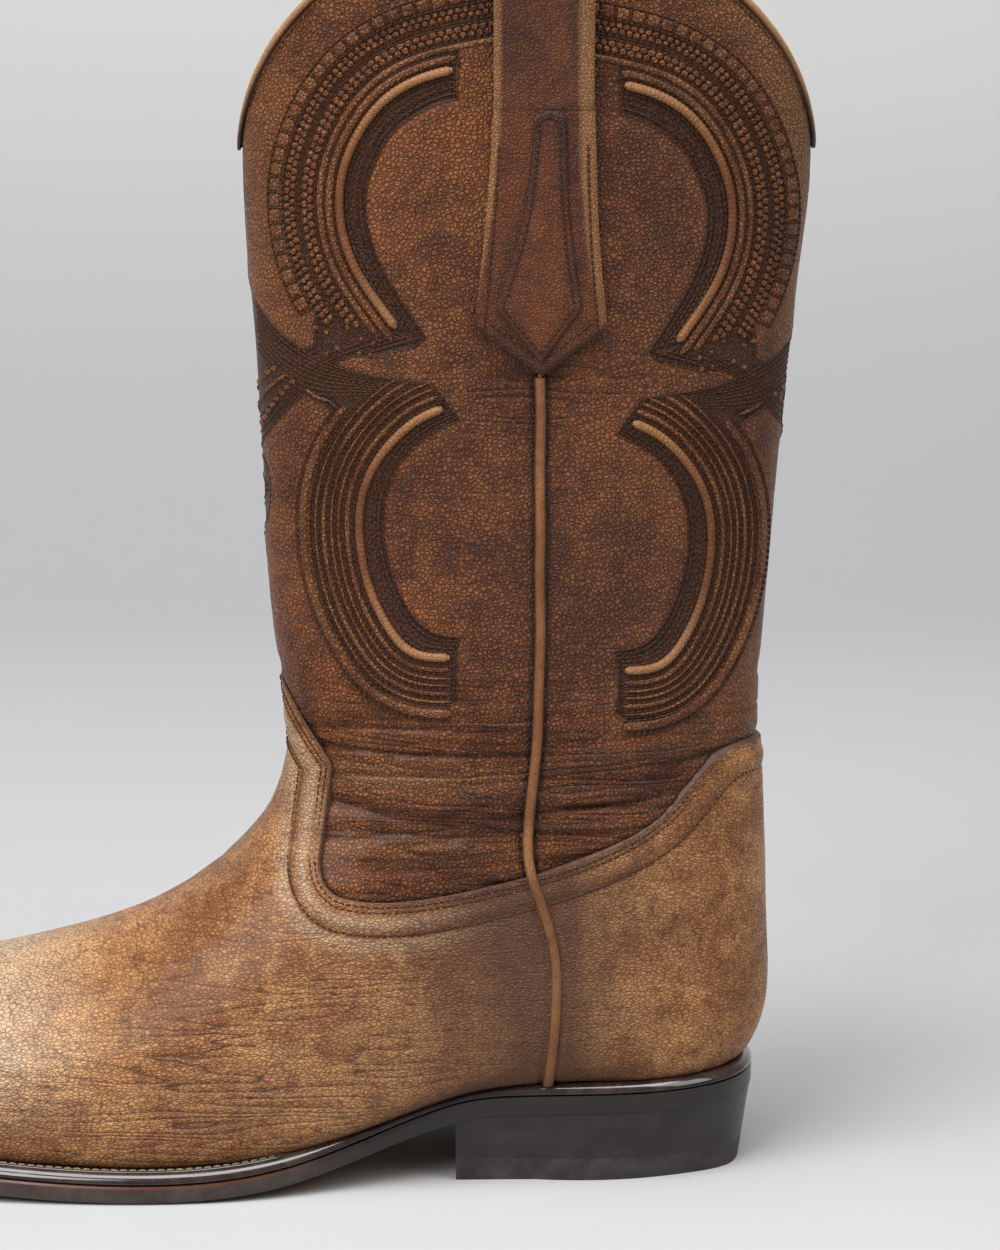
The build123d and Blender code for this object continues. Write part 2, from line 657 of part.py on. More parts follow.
lift_levels = [0, CAP, CAP + LIFT, CAP + 2 * LIFT, HEEL_TOP_Z]
lift_names = ["rubber_heel_cap", "heel_lift_1", "heel_lift_2", "heel_lift_3"]
for name, low, high in zip(lift_names, lift_levels, lift_levels[1:]):
    with BuildPart() as lift:
        add(heel_block.part)
        split(bisect_by=Plane.XY.offset(high), keep=Keep.BOTTOM)
        split(bisect_by=Plane.XY.offset(low), keep=Keep.TOP)
        add(nail_holes.part, mode=Mode.SUBTRACT)
    lift.part.label = name
    export_step(lift.part, f"parts/{name}.step")

with BuildPart() as heel_nails:
    with Locations([(x, y, NAIL_RECESS) for x, y in NAILS]):
        Cylinder(NAIL_RADIUS, NAIL_TOP_Z - NAIL_RECESS, align=(Align.CENTER, Align.CENTER, Align.MIN))
        Cylinder(NAIL_HEAD_RADIUS, NAIL_HEAD, align=(Align.CENTER, Align.CENTER, Align.MIN))
heel_nails.part.label = "heel_nails"
export_step(heel_nails.part, "parts/heel_nails.step")
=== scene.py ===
"""Looks of the left cowboy boot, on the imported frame. Lengths are in millimetres until a mesh is made."""

import math

import bmesh
import bpy
import numpy as np
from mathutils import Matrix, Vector


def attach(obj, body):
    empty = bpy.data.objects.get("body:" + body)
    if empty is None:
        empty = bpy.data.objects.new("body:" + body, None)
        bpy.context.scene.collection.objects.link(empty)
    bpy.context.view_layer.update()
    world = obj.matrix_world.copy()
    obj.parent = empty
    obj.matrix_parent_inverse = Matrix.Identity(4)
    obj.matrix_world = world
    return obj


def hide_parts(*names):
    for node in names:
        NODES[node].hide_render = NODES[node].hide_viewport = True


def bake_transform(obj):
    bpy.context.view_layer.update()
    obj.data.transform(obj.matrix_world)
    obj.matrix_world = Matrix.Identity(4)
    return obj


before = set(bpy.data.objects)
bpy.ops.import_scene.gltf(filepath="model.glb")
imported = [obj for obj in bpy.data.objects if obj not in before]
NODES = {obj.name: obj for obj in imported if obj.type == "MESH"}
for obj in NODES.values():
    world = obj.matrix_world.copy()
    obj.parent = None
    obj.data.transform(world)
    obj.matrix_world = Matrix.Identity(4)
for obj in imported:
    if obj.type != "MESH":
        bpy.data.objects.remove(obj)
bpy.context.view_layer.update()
MM = 0.001
rng = np.random.default_rng(7)

# ---- the boot's form
# front point (x, z), back point (x, z), outer and inner half width, share below the widest place, exponents
STATIONS = np.array([
    (-153.5, 27, -154.5, 13, 7, 7, 0.5, 2, 3), (-150.5, 33, -151.5, 12.5, 15, 15, 0.48, 2, 3.5),
    (-143, 39.5, -144.5, 11.5, 23.5, 24, 0.46, 2.1, 4), (-130, 45.5, -132, 10, 32, 33, 0.44, 2.1, 4.5),
    (-111, 51, -113, 7.5, 39.5, 40.5, 0.42, 2.1, 5), (-86, 56, -88, 5, 46, 47, 0.4, 2.1, 5),
    (-60, 61.5, -60, 3, 49.5, 50.5, 0.38, 2.1, 5), (-36, 69, -30, 1.8, 51, 51, 0.36, 2.1, 5),
    (-16, 80, 2, 4, 49.5, 48, 0.36, 2.1, 5), (-2, 92.5, 34, 11, 45.5, 43, 0.38, 2.1, 5),
    (6, 104, 68, 21.5, 41, 39, 0.42, 2.1, 5), (9.5, 115, 102, 24, 38.5, 37.5, 0.45, 2.1, 4.6),
    (10, 125, 131, 24.5, 37, 36.5, 0.48, 2.1, 3.6), (9, 135, 143.5, 36, 36, 36, 0.5, 2.1, 2.6),
    (7, 147, 146.9, 66, 35.5, 35.5, 0.5, 2.1, 2.2), (5.2, 162, 145.6, 98, 35, 35, 0.5, 2.1, 2.1),
    (4, 180, 144.3, 130, 35, 35, 0.5, 2.1, 2.1), (3, 203, 146.5, 168, 35.5, 35.5, 0.5, 2.1, 2.1),
    (1.5, 230, 149.8, 210, 36.5, 36.5, 0.5, 2.1, 2.1), (-0.3, 260, 154.2, 253, 37.5, 37.5, 0.5, 2.1, 2.1),
    (-2.4, 294, 158.2, 294, 38.6, 38.6, 0.5, 2.1, 2.1), (-4, 330, 160, 330, 39.4, 39.4, 0.5, 2.1, 2.1),
    (-5, 366, 161, 366, 40, 40, 0.5, 2.1, 2.1)])
DOME = 2.5
GRAIN = 0.8
COLUMNS = 440
SEAM = [(82, -5), (84.2, 31), (86.2, 50), (85.8, 65), (81.6, 82), (78.8, 91), (79.4, 111), (81.2, 140),
        (81.4, 220), (81.6, 300), (81.6, 370)]
SOLE_TOP = [(-162, 25.5), (-150, 22), (-130, 18), (-110, 14.9), (-90, 12.4), (-68, 10.4), (-45, 9.1),
            (-25, 8.8), (-5, 9.7), (14, 12.6), (36, 19.2), (50, 24), (62, 27.2), (76, 28.4), (100, 28.9),
            (125, 29.6), (145, 30.4), (165, 31.2)]
TOP_CENTRE, TOP_RADII = (77.9, 286), (80.3, 66)
SEAM_X = 81.3


def natural_spline(knots, values):
    """A function of the parameter that passes smoothly through the values at the knots."""
    knots, values = np.asarray(knots, float), np.asarray(values, float)
    count, gap = len(knots), np.diff(knots)
    slope = np.diff(values, axis=0) / gap[:, None]
    system, right = np.eye(count), np.zeros_like(values)
    for i in range(1, count - 1):
        system[i, i - 1:i + 2] = gap[i - 1], 2 * (gap[i - 1] + gap[i]), gap[i]
        right[i] = 6 * (slope[i] - slope[i - 1])
    bend = np.linalg.solve(system, right)

    def at(t):
        t = np.asarray(t, float)
        i = np.clip(np.searchsorted(knots, t, side="right") - 1, 0, count - 2)
        after, before, h = ((knots[i + 1] - t)[..., None], (t - knots[i])[..., None], gap[i][..., None])
        curved = (bend[i] * after ** 3 + bend[i + 1] * before ** 3) / (6 * h)
        first, last = values[i] / h - bend[i] * h / 6, values[i + 1] / h - bend[i + 1] * h / 6
        return curved + first * after + last * before

    return at


def distances(line):
    """Distance along a polyline at each of its points."""
    return np.r_[0, np.cumsum(np.linalg.norm(np.diff(line, axis=0), axis=1))]


def normalized(vectors):
    return vectors / np.maximum(np.linalg.norm(vectors, axis=-1, keepdims=True), 1e-9)


def tangents(path, closed=False):
    """Unit tangents along a path."""
    ahead = np.roll(path, -1, axis=0) - np.roll(path, 1, axis=0) if closed else np.gradient(path, axis=0)
    return normalized(ahead)


def quarter_turn(directions):
    """Flat directions turned a quarter anticlockwise."""
    return np.stack([-directions[:, 1], directions[:, 0]], axis=1)


def curve(points, step=0.5):
    """Points every step along a smooth curve through the given ones."""
    points = np.asarray(points, float)
    knots = distances(points)
    dense = natural_spline(knots, points)(np.linspace(0, knots[-1], 12 * len(points)))
    return resampled(dense, step)


def resampled(line, step):
    """The polyline's points, spaced evenly by about the step."""
    line = np.asarray(line, float)
    along = distances(line)
    even = np.linspace(0, along[-1], max(2, int(round(along[-1] / step)) + 1))
    return np.stack([np.interp(even, along, line[:, k]) for k in range(line.shape[1])], axis=1)


travel = np.maximum(*(np.hypot(*np.diff(STATIONS[:, k:k + 2], axis=0).T) for k in (0, 2)))
STATION_T = np.r_[0, np.cumsum(travel)]
profile = natural_spline(STATION_T, STATIONS)
seam_points, sole_points = curve(SEAM, 1.0), curve(SOLE_TOP, 1.0)


def seam_x(z):
    return np.interp(z, seam_points[:, 1], seam_points[:, 0])


def sole_z(x):
    return np.interp(x, sole_points[:, 0], sole_points[:, 1])


def signed_power(value, power):
    return np.sign(value) * np.abs(value) ** power


def unit(value):
    return np.clip(value, 0, 1)


def peak(value, reach):
    """1 where the value is zero, falling evenly to 0 at the reach on either side."""
    return np.clip(1 - np.abs(value) / reach, 0, 1)


def form(t, theta, inset=0.0):
    """Points of the form: t runs from the toe to the top, theta round a section, from front to inner side."""
    t, theta, inset = np.broadcast_arrays(t, theta, inset)
    columns = np.moveaxis(profile(np.maximum(t, 0)), -1, 0)
    fx, fz, bx, bz, outer, inner, below, front_power, back_power = columns
    length = np.hypot(fx - bx, fz - bz)
    up, across = np.cos(theta), np.sin(theta)
    power = 2 / np.where(up > 0, front_power, back_power)
    dome = np.sqrt(unit(1 - (np.minimum(t, 0) / DOME) ** 2))
    reach = (length * np.where(up > 0, 1 - below, below) - inset) * dome
    half = (np.where(across > 0, inner, outer) - inset) * dome
    height = below * length + signed_power(up, power) * reach
    retreat = inset * unit(1 - t / STATION_T[5]) + np.minimum(t, 0)
    x = bx + (fx - bx) / length * height + retreat
    z = bz + (fz - bz) / length * height
    return np.stack([x, signed_power(across, power) * half, z], axis=-1)


def form_normal(t, theta, inset=0.0):
    """Outward unit normals of the form."""
    around = form(t, theta + 0.004, inset) - form(t, theta - 0.004, inset)
    along = form(t + 0.4, theta, inset) - form(t - 0.4, theta, inset)
    return normalized(np.cross(along, around))


def locate(x, z, side):
    """t and theta of the leg's points seen at (x, z) from the outer side (-1) or the inner side (1)."""
    x, z = np.asarray(x, float), np.asarray(z, float)
    low, high = np.full(x.shape, STATION_T[6]), np.full(x.shape, STATION_T[-1])
    for _ in range(34):
        middle = (low + high) / 2
        fx, fz, bx, bz = np.moveaxis(profile(middle), -1, 0)[:4]
        above = (fx - bx) * (z - bz) - (fz - bz) * (x - bx) < 0
        low, high = np.where(above, middle, low), np.where(above, high, middle)
    fx, fz, bx, bz, _, _, below, front_power, back_power = np.moveaxis(profile(low), -1, 0)
    length = np.hypot(fx - bx, fz - bz)
    height = ((x - bx) * (fx - bx) + (z - bz) * (fz - bz)) / length
    lift = height - below * length
    share = lift / (length * np.where(lift > 0, 1 - below, below))
    up = signed_power(np.clip(share, -1, 1), np.where(lift > 0, front_power, back_power) / 2)
    theta = np.arccos(np.clip(up, -1, 1))
    return low, np.where(side < 0, 2 * math.pi - theta, theta)


def on_leg(points, side, height):
    """Positions and normals on the leather for side-view points, lifted by height."""
    t, theta = locate(points[:, 0], points[:, 1], side)
    normal = form_normal(t, theta)
    return form(t, theta) + normal * np.reshape(height, (-1, 1)), normal


# ---- meshes
def make_object(name, vertices, faces, materials, face_material=None, angle=40, closed=True):
    """A smooth-shaded object from millimetre vertices."""
    mesh = bpy.data.meshes.new(name)
    mesh.from_pydata((np.asarray(vertices, float) * MM).tolist(), [], [list(map(int, f)) for f in faces])
    mesh.polygons.foreach_set("use_smooth", np.ones(len(mesh.polygons), bool))
    if face_material is not None:
        mesh.polygons.foreach_set("material_index", np.asarray(face_material, np.int32))
    for material in materials:
        mesh.materials.append(material)
    mesh.validate()
    shape = bmesh.new()
    shape.from_mesh(mesh)
    if closed and shape.calc_volume(signed=True) < 0:
        mesh.flip_normals()
    shape.free()
    mesh.set_sharp_from_angle(angle=math.radians(angle))
    made = bpy.data.objects.new(name, mesh)
    bpy.context.scene.collection.objects.link(made)
    return made


def paint(made, **values):
    """Writes one number per vertex, for the materials to read."""
    for name, numbers in values.items():
        attribute = made.data.attributes.new(name, "FLOAT", "POINT")
        attribute.data.foreach_set("value", np.asarray(numbers, np.float32))


def stand_for(made, slot, *nodes):
    """Hides the CAD nodes that the piece stands for; the slot is not used."""
    if nodes:
        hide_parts(*nodes)


def place(made, slot, *nodes):
    """Rides the piece on the boot and lets it stand for its CAD nodes."""
    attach(made, "boot")
    stand_for(made, slot, *nodes)


def grid(first_t, last_t, step=GRAIN, columns=COLUMNS):
    """Rows of t and an even spread of theta round each of them; the last column closes on the first."""
    rows = np.arange(first_t, last_t + step, step)
    if first_t < 0:
        rows = np.r_[-DOME * np.cos(np.linspace(0, 1.2, 6)), np.arange(-0.6, last_t + step, step)]
    half = columns // 2
    theta = np.zeros((len(rows), columns + 1))
    for start, low in ((0, 0), (half, math.pi)):
        dense = np.linspace(low, low + math.pi, 500)
        points = form(np.maximum(rows, 0)[:, None], dense[None, :])
        length = np.linalg.norm(np.diff(points, axis=1), axis=2)
        along = np.concatenate([np.zeros((len(rows), 1)), np.cumsum(length, axis=1)], axis=1)
        for r in range(len(rows)):
            even = np.linspace(0, along[r, -1], half + 1)
            theta[r, start:start + half + 1] = np.interp(even, along[r], dense)
    return rows, theta


def clipped(phi):
    """(row, column) vertices and faces of the part of a grid where phi is negative, cut cleanly at zero."""
    wide = phi.shape[1] - 1
    inside = phi < 0
    ids = -np.ones(phi.shape, int)
    places = np.argwhere(inside[:, :-1])
    ids[places[:, 0], places[:, 1]] = np.arange(len(places))
    ids[:, -1] = ids[:, 0]
    corners = (ids[:-1, :-1], ids[1:, :-1], ids[1:, 1:], ids[:-1, 1:])
    number = sum((c >= 0).astype(int) for c in corners)
    full = number == 4
    faces = np.stack([c[full] for c in corners], axis=1).tolist()
    places, cuts = places.astype(float).tolist(), {}

    def cut(a, b):
        key = tuple(sorted(((a[0], a[1] % wide), (b[0], b[1] % wide))))
        if key not in cuts:
            share = phi[a] / (phi[a] - phi[b])
            cuts[key] = len(places)
            places.append([a[0] + (b[0] - a[0]) * share, a[1] + (b[1] - a[1]) * share])
        return cuts[key]

    for r, c in np.argwhere((number > 0) & (number < 4)):
        ring = [(r, c), (r + 1, c), (r + 1, c + 1), (r, c + 1)]
        face = []
        for a, b in zip(ring, ring[1:] + ring[:1]):
            if inside[a]:
                face.append(ids[a])
            if inside[a] != inside[b]:
                face.append(cut(a, b))
        if len(face) > 2:
            faces.append(face)
    return np.array(places), faces


def at_places(values, places):
    """A grid's values at fractional rows and columns."""
    r0 = np.minimum(places[:, 0].astype(int), values.shape[0] - 2)
    c0 = np.minimum(places[:, 1].astype(int), values.shape[1] - 2)
    fr, fc = places[:, 0] - r0, places[:, 1] - c0
    near = values[r0, c0] * (1 - fc) + values[r0, c0 + 1] * fc
    far = values[r0 + 1, c0] * (1 - fc) + values[r0 + 1, c0 + 1] * fc
    return near * (1 - fr) + far * fr


def boundary_edges(faces):
    """Directed edges that only one face uses."""
    seen = {}
    for face in faces:
        for a, b in zip(face, face[1:] + face[:1]):
            seen[(a, b)] = True
    return [(a, b) for a, b in seen if (b, a) not in seen]


def shell(name, inside, span, outer, inner, materials, relief=None, step=GRAIN, columns=COLUMNS):
    """A closed leather shell: the part of the form where inside() is negative, from outer to inner inset."""
    rows, theta = grid(span[0], span[1], step, columns)
    base = form(rows[:, None], theta)
    phi = inside(base[..., 0], base[..., 1], base[..., 2])
    places, faces = clipped(phi)
    t = at_places(np.repeat(rows[:, None], theta.shape[1], axis=1), places)
    turn = at_places(theta, places)
    depth = -at_places(phi, places)
    outside = form(t, turn, outer)
    normal = form_normal(t, turn, outer)
    marks = {"dark": np.zeros(len(t))}
    lift = -0.45 * unit(1 - depth / 0.9) ** 2
    if relief:
        height, marks = relief(outside, turn, depth)
        lift = lift + height
    outside = outside + normal * lift[:, None]
    inside_points = form(t, turn, inner)
    back, rim = backed(faces, len(places))
    slots = [0] * len(faces) + [0] * len(back) + [len(materials) - 1] * len(rim)
    made = make_object(name, np.r_[outside, inside_points], faces + back + rim, materials, slots)
    paint(made, **{k: np.r_[v, v] for k, v in marks.items()})
    return made


def tube(rings, closed=False, capped=True):
    """Vertices and faces of the skin through rings of points."""
    count, size = rings.shape[:2]
    faces = []
    for i in range(count if closed else count - 1):
        a, b = i * size, (i + 1) % count * size
        faces += [[a + k, a + (k + 1) % size, b + (k + 1) % size, b + k] for k in range(size)]
    if capped and not closed:
        faces += [list(range(size))[::-1], [(count - 1) * size + k for k in range(size)]]
    return rings.reshape(-1, 3), faces


def sweep(path, across, up, section, closed=False):
    """Vertices and faces of a section, a list of (across, up) pairs, carried along a path."""
    section = np.asarray(section, float)
    if section.ndim == 2:
        section = np.repeat(section[None], len(path), axis=0)
    return tube(path[:, None] + section[..., :1] * across[:, None] + section[..., 1:] * up[:, None], closed)


def oval(count, half_width, half_height):
    """Points round an ellipse."""
    turn = np.linspace(0, 2 * math.pi, count, endpoint=False)
    return np.stack([half_width * np.cos(turn), half_height * np.sin(turn)], axis=1)


def tapered(count, over, least):
    """A share for each of count places: 1 in the middle, rounding down to the least at both ends."""
    return np.clip(np.minimum(np.arange(count), np.arange(count)[::-1]) / over, least, 1) ** 0.5


def grid_faces(rows, columns):
    ids = np.arange(rows * columns).reshape(rows, columns)
    return np.stack([ids[:-1, :-1], ids[1:, :-1], ids[1:, 1:], ids[:-1, 1:]], axis=-1).reshape(-1, 4).tolist()


def backed(faces, count):
    """Faces of the back of a sheet, whose points follow the front's, and of the rim between the two."""
    back = [[i + count for i in reversed(f)] for f in faces]
    return back, [[b, a, a + count, b + count] for a, b in boundary_edges(faces)]


def two_sided(name, top, bottom, materials, angle=40):
    """A closed sheet between two grids of points."""
    faces = grid_faces(*top.shape[:2])
    back, rim = backed(faces, top.shape[0] * top.shape[1])
    return make_object(name, np.r_[top.reshape(-1, 3), bottom.reshape(-1, 3)], faces + back + rim, materials,
                       angle=angle)


def joined(parts):
    """Several (vertices, faces) pairs as one."""
    vertices, faces, start = [], [], 0
    for points, cells in parts:
        vertices.append(points)
        faces += [[i + start for i in f] for f in cells]
        start += len(points)
    return np.concatenate(vertices), faces


def stitches(path, normal, length=2.2, radius=0.36, gap=0.22, sink=0.12):
    """A row of short threads along a path, each dipping into the leather at both ends."""
    along = distances(path)
    count = max(1, int(round(along[-1] / length)))
    starts = np.linspace(0, along[-1], count + 1)
    rings = []
    for share, size, lift in ((0.0, 0.35, -0.3), (0.22, 0.95, 0.1), (0.78, 0.95, 0.1), (1.0, 0.35, -0.3)):
        spots = starts[:-1] + gap / 2 + (np.diff(starts) - gap) * share
        centre = np.stack([np.interp(spots, along, path[:, k]) for k in range(3)], axis=1)
        up = np.stack([np.interp(spots, along, normal[:, k]) for k in range(3)], axis=1)
        rings.append((centre + up * (lift * radius - sink), up, size * radius))
    ahead = normalized(rings[-1][0] - rings[0][0])
    points = []
    for centre, up, size in rings:
        side = np.cross(ahead, up)
        for k in range(5):
            turn = 2 * math.pi * k / 5 + 0.3
            points.append(centre + (side * math.cos(turn) + up * math.sin(turn)) * size)
    vertices = np.stack(points, axis=1).reshape(-1, 3)
    cell = [[r * 5 + k, r * 5 + (k + 1) % 5, (r + 1) * 5 + (k + 1) % 5, (r + 1) * 5 + k]
            for r in range(3) for k in range(5)]
    cell += [[4, 3, 2, 1, 0], [15, 16, 17, 18, 19]]
    faces = [[i + 20 * s for i in f] for s in range(count) for f in cell]
    return vertices, faces


# ---- materials
class Nodes:
    """A short way of writing a material's node tree."""

    def __init__(self, name):
        self.material = bpy.data.materials.new(name)
        self.material.use_nodes = True
        self.tree = self.material.node_tree
        self.shader = self.tree.nodes["Principled BSDF"]
        self.place = self.add("ShaderNodeTexCoord").outputs["Object"]

    def add(self, kind, settings=None, **inputs):
        node = self.tree.nodes.new(kind)
        for key, value in (settings or {}).items():
            setattr(node, key, value)
        for key, value in inputs.items():
            self.set(node, key.replace("_", " "), value)
        return node

    def set(self, node, key, value):
        socket = node.inputs[int(key[1:])] if key[0] == "i" and key[1:].isdigit() else node.inputs[key]
        if isinstance(value, bpy.types.NodeSocket):
            self.tree.links.new(value, socket)
        else:
            socket.default_value = value

    def scaled(self, scale):
        """Object coordinates in millimetres, times a scale for each axis."""
        return self.add("ShaderNodeMapping", Vector=self.place, Scale=[1000 * s for s in scale]).outputs[0]

    def noise(self, scale, stretch=(1, 1, 1), detail=3.0, rough=0.55, warp=0.0):
        node = self.add("ShaderNodeTexNoise", Vector=self.scaled(stretch), Scale=scale, Detail=detail,
                        Roughness=rough, Distortion=warp)
        return node.outputs["Fac"]

    def cells(self, scale, stretch=(1, 1, 1), warp=None):
        """Distance from the cracks between the cells of a grain."""
        vector = self.scaled(stretch)
        if warp:
            offset = self.add("ShaderNodeTexNoise", Vector=vector, Scale=warp[0], Detail=2.0).outputs["Color"]
            scaled = self.add("ShaderNodeVectorMath", {"operation": "MULTIPLY_ADD"}, i0=offset,
                              i1=[warp[1]] * 3, i2=vector)
            vector = scaled.outputs[0]
        node = self.add("ShaderNodeTexVoronoi", {"feature": "DISTANCE_TO_EDGE"}, Vector=vector, Scale=scale)
        return node.outputs["Distance"]

    def math(self, operation, a, b):
        return self.add("ShaderNodeMath", {"operation": operation}, i0=a, i1=b).outputs[0]

    def plus(self, a, b):
        return self.math("ADD", a, b)

    def minus(self, a, b):
        return self.math("SUBTRACT", a, b)

    def times(self, a, b):
        return self.math("MULTIPLY", a, b)

    def remap(self, value, low, high, to_low=0.0, to_high=1.0):
        node = self.add("ShaderNodeMapRange", {"interpolation_type": "SMOOTHSTEP"}, Value=value)
        for key, number in zip(("From Min", "From Max", "To Min", "To Max"), (low, high, to_low, to_high)):
            node.inputs[key].default_value = number
        return node.outputs["Result"]

    def mix(self, share, a, b):
        node = self.add("ShaderNodeMix", {"data_type": "RGBA"})
        for index, value in ((0, share), (6, a), (7, b)):
            if isinstance(value, bpy.types.NodeSocket):
                self.tree.links.new(value, node.inputs[index])
            else:
                node.inputs[index].default_value = value if index == 0 else (*value, 1)[:4]
        return node.outputs[2]

    def mark(self, name):
        return self.add("ShaderNodeAttribute", {"attribute_name": name}).outputs["Fac"]

    def finish(self, colour, rough, height, strength=0.5, distance=0.0003, **shader):
        bump = self.add("ShaderNodeBump", Height=height, Strength=strength, Distance=distance)
        self.set(self.shader, "Base Color", colour)
        self.set(self.shader, "Roughness", rough)
        self.set(self.shader, "Normal", bump.outputs[0])
        for key, value in shader.items():
            self.set(self.shader, key.replace("_", " "), value)
        return self.material


def leather(name, dark, light, crack, pale, grain, crease, bump=1.0, net=0.6, stretch=(1, 1, 1)):
    """Grained, burnished leather. Marks darken it (dark: tone, and painted shade where the reliefs set it),
    lighten it (tan: burnish, and painted highlights where the reliefs set it), fold it with painted shade in
    the valleys (fold) or sew it down (zone).
    """
    n = Nodes(name)
    clouds = n.noise(0.020, detail=4.0, rough=0.6)
    patches = n.noise(0.10, detail=5.0, rough=0.7, warp=0.8)
    speckle = n.noise(1.5, detail=3.0, rough=0.6)
    tone = n.plus(n.times(clouds, 0.5), n.times(patches, 0.5))
    colour = n.mix(n.remap(tone, 0.40, 0.61), dark, light)
    # The tan mark: burnish, and painted highlights where the reliefs set them.
    colour = n.mix(n.mark("tan"), colour, pale)
    pebbles = n.cells(grain, stretch, warp=(0.5, 0.7))
    fine = n.cells(grain * 2.2, stretch, warp=(0.9, 0.6))
    lines = n.cells(0.26, (0.5, 0.5, 1.6), warp=(0.16, 2.6))
    creased = n.remap(n.noise(0.045, detail=2.0), 0.42, 0.62, 0.0, crease)
    cracks = n.times(n.remap(lines, 0.05, 0.0), creased)
    gaps = n.remap(pebbles, 0.40, 0.0)
    gaps = n.times(gaps, gaps)
    pores = n.remap(fine, 0.24, 0.0)
    swell = n.noise(0.28, stretch, detail=2.0)
    # Pebble tops lightened in worn patches: part burnish, part painted highlight.
    worn = n.remap(n.noise(0.22, detail=3.0), 0.35, 0.65)
    colour = n.mix(n.times(n.remap(pebbles, 0.12, 0.45, 0.0, 0.55), worn), colour, light)
    colour = n.mix(n.remap(pebbles, 0.16, 0.0, 0.0, net), colour, crack)
    colour = n.mix(n.times(pores, 0.30), colour, crack)
    colour = n.mix(n.remap(speckle, 0.50, 0.72, 0.0, 0.34), colour, crack)
    colour = n.mix(n.times(cracks, 0.8), colour, crack)
    height = n.minus(n.times(swell, 0.9), n.times(gaps, 0.62))
    height = n.minus(height, n.times(pores, 0.14))
    height = n.minus(height, n.times(cracks, 0.7))
    flow = n.noise(0.085, (0.24, 0.6, 2.2), detail=0.6, warp=0.15)
    flow = n.plus(flow, n.times(n.noise(0.5, (0.5, 0.8, 1.6)), 0.05))
    ripple = n.math("PINGPONG", n.times(flow, 6.0), 0.5)
    bend = n.mark("fold")
    fold = n.times(n.remap(ripple, 0.085, 0.0), bend)
    swollen = n.times(n.remap(ripple, 0.0, 0.40), bend)
    # Painted shade in the fold valleys.
    colour = n.mix(n.times(fold, 0.72), colour, crack)
    height = n.plus(height, n.minus(n.times(swollen, 1.1), n.times(fold, 0.9)))
    # The dark mark: tone, and painted shade where the reliefs set it.
    colour = n.mix(n.mark("dark"), colour, crack)
    sewn = n.remap(n.mark("zone"), 0.05, 0.40)
    colour = n.mix(n.times(sewn, 0.92), colour, [0.85 * part for part in crack])
    rows = n.remap(n.math("PINGPONG", n.mark("zone"), 0.66), 0.12, 0.5)
    rows = n.times(rows, n.remap(n.mark("zone"), 0.3, 0.9))
    cord = n.times(rows, n.remap(speckle, 0.35, 0.6, 0.35, 0.75))
    colour = n.mix(cord, colour, (dark[0] * 0.75, dark[1] * 0.85, dark[2]))
    height = n.plus(height, n.times(rows, 0.5))
    rough = n.plus(n.remap(n.noise(0.3), 0.3, 0.7, 0.26, 0.46), n.times(gaps, 0.15))
    return n.finish(colour, rough, height, bump, 0.00082, Specular_IOR_Level=0.20, Coat_Weight=0.16,
                    Coat_Roughness=0.24)


def plain_leather(name, dark, light, scale=0.8, shine=0.6, bump=0.35):
    """Smooth leather with fibres and stains, for edges, linings and soles."""
    n = Nodes(name)
    stain = n.noise(0.05, detail=5.0, rough=0.65)
    fibre = n.noise(scale, (1, 1, 2.2), detail=4.0)
    pores = n.remap(n.cells(scale * 1.6, warp=(0.8, 0.5)), 0.0, 0.12)
    colour = n.mix(n.remap(stain, 0.3, 0.7), dark, light)
    colour = n.mix(n.remap(fibre, 0.35, 0.75, 0.0, 0.4), colour, dark)
    height = n.plus(n.times(fibre, 0.7), n.times(pores, 0.3))
    rough = n.remap(fibre, 0.3, 0.7, shine - 0.08, shine + 0.1)
    return n.finish(colour, rough, height, bump, 0.0002)


def stacked(name, dark, light, layer=1.9, shine=0.3, coat=0.2):
    """Waxed edge of stacked or dense leather: faint level layers, wear and fine scratches."""
    n = Nodes(name)
    wobble = n.noise(0.06, detail=2.0)
    level = n.add("ShaderNodeSeparateXYZ", Vector=n.scaled((1, 1, 1))).outputs[2]
    level = n.plus(level, n.times(wobble, 0.8))
    bands = n.math("PINGPONG", level, layer / 2)
    line = n.remap(bands, 0.0, 0.16)
    scratch = n.noise(0.9, (0.25, 0.25, 2.0), detail=4.0)
    haze = n.noise(0.12, detail=4.0, rough=0.7)
    colour = n.mix(n.remap(haze, 0.35, 0.75), dark, light)
    colour = n.mix(n.remap(bands, 0.2, 0.0, 0.0, 0.45), colour, dark)
    colour = n.mix(n.remap(scratch, 0.6, 0.8, 0.0, 0.3), colour, light)
    colour = n.mix(n.mark("rim"), colour, (0.11, 0.036, 0.016))
    colour = n.mix(n.mark("aft"), colour, (dark[0] * 0.5, dark[1] * 0.55, dark[2] * 0.6))
    height = n.plus(n.times(line, 0.5), n.times(scratch, 0.4))
    rough = n.remap(haze, 0.3, 0.7, shine - 0.05, shine + 0.14)
    return n.finish(colour, rough, height, 0.3, 0.00012, Specular_IOR_Level=0.3, Coat_Weight=coat,
                    Coat_Roughness=0.09)


def twisted(name, dark, light, scale=2.2, shine=0.55):
    """Waxed thread, or a leather cord whipped with it."""
    n = Nodes(name)
    strands = n.noise(scale, (1.5, 1.5, 0.6), detail=3.0)
    fuzz = n.noise(scale * 3, detail=2.0)
    colour = n.mix(n.remap(strands, 0.35, 0.7), dark, light)
    rough = n.remap(fuzz, 0.3, 0.7, shine - 0.1, shine + 0.1)
    return n.finish(colour, rough, strands, 0.5, 0.0002, Specular_IOR_Level=0.12)


